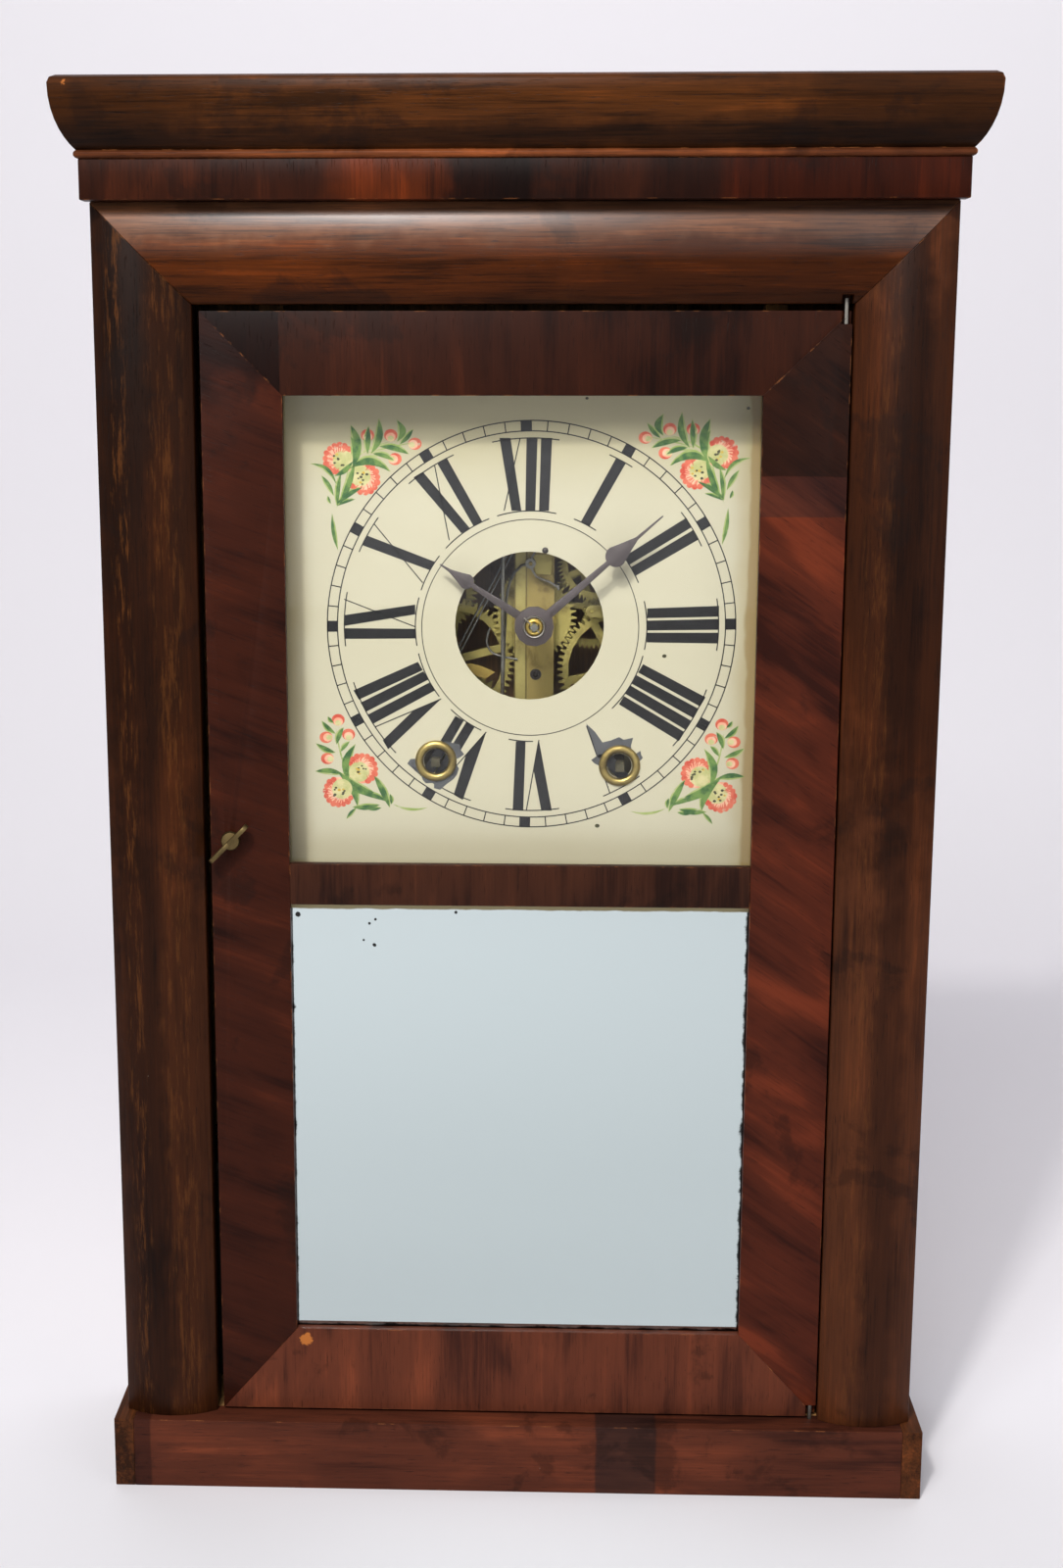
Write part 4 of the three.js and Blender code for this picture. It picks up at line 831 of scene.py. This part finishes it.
LOWER_LEAVES = [
    (-80.5, -59, -83, -74, -3.4, 3.4), (-83, -74, -72.5, -80, -2.0, 3.4), (-88, -72.5, -80.5, -86, 2.4, 3.6),
    (-70.5, -74, -64.5, -86.5, 0.5, 2.8), (-79, -81, -66, -84.8, 0.8, 2.2),
    (-80.5, -88, -70, -87, -0.8, 2.4), (-74, -89, -68.5, -88.5, -0.4, 1.4),
    (-80.5, -89, -84.5, -93.5, -0.5, 1.2), (-90.5, -51, -95.8, -46, 0.4, 1.8),
    (-91, -46, -93.2, -43.5, 0.2, 1.2), (-89, -56, -86.3, -49.5, 0.5, 2.2),
    (-91, -60.5, -98.5, -57, 0.4, 2.0), (-88, -71.5, -98.5, -70.5, -1.0, 2.4),
    (-87, -60, -83.5, -56, 0.2, 1.6), (-63.5, -82, -63, -86, 0.3, 1.3)]
LOWER_STEMS = [
    (-89.5, -49, -82, -76, -1.4, 0.8), (-81, -80, -62, -86.5, 0.5, 0.8), (-62, -86.5, -45, -88, -1.8, 1.3)]
# Flowers as middle x, z and the way their petals face in degrees; buds as x, z and way.
UPPER_FLOWERS = [(-86.0, 80.5, 155), (-75.5, 72.0, -38)]
UPPER_BUDS = [(-73.0, 92.0, 90), (-62.0, 92.0, 90), (-50.5, 88.0, 20), (-60.0, 80.8, 0)]
LOWER_FLOWERS = [(-77.5, -69.5, 45), (-88.0, -80.0, 222)]
LOWER_BUDS = [(-88.5, -44.8, 90), (-83.5, -52.0, 90), (-94.5, -53.5, 180), (-94.0, -64.0, 170)]
UPPER = (UPPER_LEAVES, UPPER_STEMS, UPPER_FLOWERS, UPPER_BUDS)
LOWER = (LOWER_LEAVES, LOWER_STEMS, LOWER_FLOWERS, LOWER_BUDS)
PAINTS = {"petal": red_paint, "blush": blush_paint, "flower": eye_paint, "leaf": green_paint,
          "stem": stem_paint, "dot": dot_paint, "gold": yellow_paint}


def off(x, z, reach, angle):
    """The place at a reach and an angle from x, z."""
    return x + reach * math.cos(angle), z + reach * math.sin(angle)


def spray(name, corner, mirror_at=None, lift=0.0):
    """One corner's flowers: petals round a pale eye, buds, leaves and stems."""
    leaves, stems, flowers, buds = corner
    middle_of_dial = middle("dial")
    side = 1 if mirror_at is None else -1

    def moved(x, z):
        return x if side == 1 else 2 * mirror_at - x, z + lift

    def facing(way):
        return math.radians(way if side == 1 else 180 - way)

    coats = {key: bmesh.new() for key in PAINTS}
    on = {coat: on_dial(middle_of_dial, coat) for coat in ("petal", "flower", "leaf", "dot")}
    for x, z, way in flowers:
        (x, z), way = moved(x, z), facing(way)
        dab(coats["blush"], on["petal"], *off(x, z, 0.8, way), 7.4, 1.0, 24)
        for step in range(-5, 6):
            petal = off(x, z, 7.3 - 0.04 * step * step, way + step * 0.36)
            dab(coats["petal"], on["flower"], *petal, random.uniform(1.2, 1.6))
        dab(coats["flower"], on["leaf"], *off(x, z, -1.4, way), 5.0, 1.0, 24)
        for step in range(-8, 9):
            angle = way + step * 0.21 + random.uniform(-0.08, 0.08)
            inner_end = off(x, z, random.uniform(3.0, 5.0), angle + 0.2)
            brush(coats["petal"], on["leaf"], off(x, z, 7.4, angle), inner_end, 0.2, 0.5)
        for _ in range(9):
            coat = random.choice(("dot", "dot", "gold"))
            dab(coats[coat], on["dot"], x + random.uniform(-3.2, 2.6), z + random.uniform(-3.2, 2.8),
                random.uniform(0.5, 0.85), 0.8, 8)
    for x, z, way in buds:
        (x, z), way = moved(x, z), facing(way)
        dab(coats["petal"], on["petal"], x, z, 3.2, 0.9)
        dab(coats["blush"], on["flower"], *off(x, z, -0.9, way), 2.3, 0.9)
        dab(coats["flower"], on["leaf"], *off(x, z, -1.5, way), 1.5, 0.9)
    for x0, z0, x1, z1, bend, width in leaves:
        ends = moved(x0, z0), moved(x1, z1)
        brush(coats["stem"], on["flower"], *ends, (bend + 0.5) * side, width * 1.3, 0.16)
        brush(coats["leaf"], on["leaf"], *ends, bend * side, width * 1.05, 0.12)
    for x0, z0, x1, z1, bend, width in stems:
        brush(coats["stem"], on["flower"], moved(x0, z0), moved(x1, z1), bend * side, width)
    for key, bm in coats.items():
        finish_print(bm, f"{name}_{key}", PAINTS[key])


spray("spray_upper_left", UPPER)
spray("spray_upper_right", UPPER, 4.0, 3.0)
spray("spray_lower_left", LOWER)
spray("spray_lower_right", LOWER, 4.6, -1.2)


# ------------------------ eyelets and bared metal
# Where the paint has come off round an eyelet, as outlines in mm from the eyelet's middle.
BARE = {
    "left": [[(-14, -1.5), (-9, -6), (-7, -4), (-7.4, 1), (-10, 1), (-12.5, 0.8)],
             [(5.5, 5), (7.6, 0), (11.5, 1.6), (13.8, 3.3), (12, 5.6), (11.5, 8.2), (8.2, 8.9), (4, 10)],
             [(-8, -5), (-6.5, -9.5), (-5, -11.2), (-1, -11), (-1, -13.6), (2, -14.4), (5.6, -11.2),
              (8.6, -9), (10.2, -6.8), (11.2, -3.8), (9.5, -0.6), (7.4, -1), (6, -5), (2.5, -7.2),
              (-3, -7.2)]],
    "right": [[(-13.8, 2.7), (-12.4, 1.2), (-10.2, 0), (-7.4, 0), (-6.4, 5), (-9.8, 5.6), (-11.4, 4.5)],
              [(-10.6, 4), (-6.6, 4), (-3, 7), (3, 7), (6.2, 4.4), (5.4, 9.8), (6.4, 13.8), (1.8, 12.8),
               (-0.4, 14.1), (-4.4, 12.4), (-8.4, 11.4), (-12, 16.5), (-16.4, 20.6), (-13.3, 12.4)],
              [(7.4, 0), (9.6, 2), (11.3, 4), (10.4, 5.4), (10.1, 7.4), (6.4, 5)]],
}
BARE_LIFT = 0.04
EYELET_HOLE, EYELET_OUTER, EYELET_RISE = 6.1, 10.1, 1.9


def bared_metal():
    bm = bmesh.new()
    for side, outlines in BARE.items():
        place = on_dial(WINDING[side], "patch")
        for outline in outlines:
            patch(bm, place @ Matrix.Translation((0, -BARE_LIFT, 0)), outline)
    return finish_print(bm, "bared_metal", bare_zinc)


def eyelets():
    """Domed brass rings spun round the winding holes."""
    for side, hole in WINDING.items():
        bm = bmesh.new()
        mid, half = (EYELET_HOLE + EYELET_OUTER) / 2, (EYELET_OUTER - EYELET_HOLE) / 2
        bmesh.ops.create_circle(bm, segments=24, radius=1)
        turned = Matrix.Translation((mid, 0, 0)) @ Matrix.Diagonal((half, EYELET_RISE, 1, 1))
        bmesh.ops.transform(bm, matrix=Matrix.Scale(MM, 4) @ turned, verts=bm.verts)
        spin_about_depth(bm, (hole.x, DIAL_FACE, hole.z), 48, 0.001)
        finish_piece(bm, f"eyelet_{side}", brass["eyelet"], "case", True)


bared_metal()
eyelets()


# Small dark specks on the dial, as x, z and radius in mm.
DIAL_SPECKS = [(69.3, 419.2, 1.1), (38.0, 335.4, 1.2), (106.6, 536.7, 0.9), (30.8, 541.3, 0.8)]


def dial_specks():
    bm = bmesh.new()
    place = Matrix.Translation((0, DIAL_FACE - COATS["dot"] * MM, 0)) @ Matrix.Scale(MM, 4)
    for x, z, radius in DIAL_SPECKS:
        dab(bm, place, x, z, radius, 0.8, 10)
    return finish_print(bm, "dial_specks", dot_paint)


dial_specks()


# ------------------------ hand fixing and movement fittings
def front_turned(name, centre, profile, material, body, steps=48):
    """A part turned about a front-to-back axis: its profile is radius and distance forward, in mm."""
    bm = bmesh.new()
    points = [bm.verts.new((radius * MM, -forward * MM, 0)) for radius, forward in profile]
    for first, second in zip(points, points[1:]):
        bm.edges.new((first, second))
    spin_about_depth(bm, centre, steps, 0.005)
    piece = finish_piece(bm, name, material, body, True)
    split = piece.modifiers.new("creases", "EDGE_SPLIT")
    split.split_angle = math.radians(35)


def wire(name, points, radius, material, body):
    """A bent wire through points in mm."""
    curve = bpy.data.curves.new(name, "CURVE")
    curve.dimensions = "3D"
    curve.bevel_depth = radius * MM
    curve.bevel_resolution = 3
    curve.use_fill_caps = True
    spline = curve.splines.new("NURBS")
    spline.points.add(len(points) - 1)
    for knot, at in zip(spline.points, points):
        knot.co = (*(Vector(at) * MM), 1)
    spline.order_u = min(3, len(points))
    spline.use_endpoint_u = True
    bm = bmesh.new()
    add_curve(bm, curve)
    finish_piece(bm, name, material, body, True)


def sheet_piece(name, corners, front, thickness, material, body):
    """A flat sheet cut to corners in mm, its front at a depth and bevelled."""
    bm = bmesh.new()
    place = Matrix.Translation((0, front * MM, 0)) @ Matrix.Scale(MM, 4)
    patch(bm, place, corners)
    made = bmesh.ops.extrude_face_region(bm, geom=bm.faces[:])["geom"]
    push_out(bm, made, (0, thickness * MM, 0))
    bmesh.ops.recalc_face_normals(bm, faces=bm.faces)
    bmesh.ops.bevel(bm, geom=bm.edges[:], offset=min(0.15, thickness / 3) * MM, offset_type="OFFSET",
                    segments=1, profile=0.5, affect="EDGES", material=-1)
    finish_piece(bm, name, material, body)


HAND_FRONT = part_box("minute_hand")[0].y
PLATE_FRONT = 5.5
# Half the diagonal of the arbor's squared end, in mm.
END_CORNER = 2.3


def hand_fixing():
    """The washer, collet, squared end and taper pin that hold the hands on."""
    centre = (ARBOR.x, HAND_FRONT, ARBOR.z)
    rider = "minute_hand_and_arbor"
    washer = [(4.5, -0.1), (4.6, 0.9), (5.0, 1.0), (5.3, 0.6), (5.4, -0.1), (4.5, -0.1)]
    collet = [(2.45, 0.3), (2.5, 1.7), (3.1, 1.9), (3.8, 1.5), (4.3, 0.7), (4.3, 0.3), (2.45, 0.3)]
    front_turned("hand_washer", centre, washer, bright_steel, rider)
    front_turned("hand_collet", centre, collet, brass["bright"], rider)
    x, y, z = Vector(centre) / MM
    corners = [(x - END_CORNER, z), (x, z - END_CORNER), (x + END_CORNER, z), (x, z + END_CORNER)]
    sheet_piece("arbor_end", corners, y - 3.6, 0.7, steel, rider)
    pin = [(x - 4.8, y - 2.4, z + 4.6), (x, y - 2.4, z), (x + 2.4, y - 2.4, z - 2.3)]
    wire("hand_pin", pin, 0.42, bright_steel, rider)


def movement_fittings():
    """Rivet, springs and lifting wires on the front plate, and the pin that holds the dial."""
    front = PLATE_FRONT
    rivet = [(0, 1.3), (0.8, 1.2), (1.3, 0.6), (1.4, 0.3), (2.7, 0.25), (2.8, 0), (0, 0)]
    front_turned("strap_rivet", (7.4 * MM, front * MM, 407.1 * MM), rivet, dark_iron, "case", 24)
    pin = [(0, 1.1), (0.9, 0.9), (1.5, 0.3), (1.5, 0), (0, 0)]
    front_turned("dial_pin", (11.6 * MM, DIAL_FACE, 469.7 * MM), pin, dark_iron, "case", 16)
    for i, across in enumerate((0, 2.2)):
        ends = [(0.5 + across, front - 0.5, 480), (-44 + across, front - 0.5, 395)]
        wire(f"lifting_wire_{i + 1}", ends, 0.5, steel, "case")
    bends = [(-1.5, 414.5), (-11.6, 416.3), (-14.9, 418.5), (-16.9, 422.4), (-16.6, 426.3), (-15, 430.3)]
    wire("hammer_spring", [(x, front - 0.6, z) for x, z in bends], 0.6, steel, "case")
    leaf = [(-46, 404), (-23, 406.9), (-17.5, 404.5), (-12.5, 408.2), (-18.7, 411), (-24.4, 412.4),
            (-46, 411)]
    sheet_piece("leaf_spring", leaf, front - 0.7, 0.7, brass["bright"], "case")
    cock = [(7.0, 456.6), (14.4, 456.1), (15.2, 461.6), (15.2, 466.0), (5.9, 465.9)]
    sheet_piece("verge_cock", cock, front - 0.35, 0.35, brass["wheel"], "case")


hand_fixing()
movement_fittings()


# ------------------------ camera, floor and lights
FOCAL_PIXELS = 2200
PHOTO = (1085, 1600)
AXIS_PIXEL = (474.3, 804.8)
CAMERA = Vector((9.9, -1048.1, 558.3)) * MM
PITCH = math.radians(11.21)
YAW = math.radians(-2.039)
SENSOR = 36


def camera():
    data = bpy.data.cameras.new("camera")
    data.sensor_width = SENSOR
    data.lens = FOCAL_PIXELS * SENSOR / max(PHOTO)
    data.shift_x = (PHOTO[0] / 2 - AXIS_PIXEL[0]) / max(PHOTO)
    data.shift_y = (AXIS_PIXEL[1] - PHOTO[1] / 2) / max(PHOTO)
    view = new_object("camera", data)
    forward = Vector((math.sin(YAW) * math.cos(PITCH), math.cos(YAW) * math.cos(PITCH), -math.sin(PITCH)))
    right = Vector((math.cos(YAW), -math.sin(YAW), 0))
    up = right.cross(forward)
    turn = Matrix((right, up, -forward)).transposed().to_4x4()
    view.matrix_world = Matrix.Translation(CAMERA) @ turn
    bpy.context.scene.camera = view


def floor():
    """A pale floor that curves up into a backdrop behind the clock."""
    bm = bmesh.new()
    reach, back, bend, height, steps = 4.0, 0.9, 0.5, 3.0, 12
    edge = bm.edges.new([bm.verts.new((x, -reach, 0)) for x in (-reach, reach)])

    def draw_out(along):
        nonlocal edge
        made = bmesh.ops.extrude_edge_only(bm, edges=[edge])["geom"]
        push_out(bm, made, along)
        edge = next(g for g in made if isinstance(g, bmesh.types.BMEdge))

    draw_out((0, reach + back, 0))
    last = Vector((0, 0, 0))
    for i in range(1, steps + 1):
        angle = i * math.pi / 2 / steps
        here = Vector((0, bend * math.sin(angle), bend * (1 - math.cos(angle))))
        draw_out(here - last)
        last = here
    draw_out((0, 0, height))
    bmesh.ops.recalc_face_normals(bm, faces=bm.faces)
    f = Finish("pale_floor", Roughness=0.9)
    further = f.fade(f.axis(f.where, "Y"), -0.5, 0.25)
    f.set(Base_Color=f.blend(further, (0.7, 0.695, 0.72), (0.88, 0.86, 0.9)))
    new_mesh(bm, "floor", f.material, True)


def lamp(name, at, size, power, colour=(1, 1, 1), target=(0, 0, 0.36)):
    data = bpy.data.lights.new(name, "AREA")
    data.shape = "RECTANGLE"
    data.size, data.size_y = size
    data.energy = power
    data.color = colour
    light = new_object(name, data)
    light.location = at
    light.rotation_mode = "QUATERNION"
    light.rotation_quaternion = (Vector(target) - Vector(at)).to_track_quat("-Z", "Y")


def studio():
    world = bpy.data.worlds.new("studio")
    bpy.context.scene.world = world
    world.use_nodes = True
    w = Wiring(world.node_tree)
    output = world.node_tree.nodes["World Output"]
    plain = world.node_tree.nodes["Background"]
    w.feed(plain.inputs["Color"], (0.86, 0.86, 0.9))
    plain.inputs["Strength"].default_value = 0.2
    seen = w.add("Background", {"Color": (0.80, 0.80, 0.84), "Strength": 1.0}).outputs[0]
    rays = w.add("LightPath").outputs
    direct = w.math("MAXIMUM", rays["Is Camera Ray"], rays["Is Transmission Ray"])
    direct = w.math("MAXIMUM", direct, rays["Is Glossy Ray"])
    mix = w.add("MixShader", {0: direct, 1: plain.outputs[0], 2: seen})
    w.feed(output.inputs["Surface"], mix.outputs[0])
    lamp("key", (-0.53, -1.75, 2.09), (0.16, 0.16), 28, (1.0, 0.98, 0.95))
    lamp("soft", (-0.35, -1.55, 1.72), (1.0, 0.8), 29, target=(0, 0, 0.62))
    lamp("fill", (1.5, -1.6, 1.1), (1.4, 1.4), 5, (0.96, 0.98, 1.0))
    lamp("backdrop", (0.3, 0.5, 2.1), (1.8, 0.3), 7, target=(0.2, 1.4, 0.3))
    bpy.context.scene.view_settings.view_transform = "Standard"


camera()
floor()
studio()
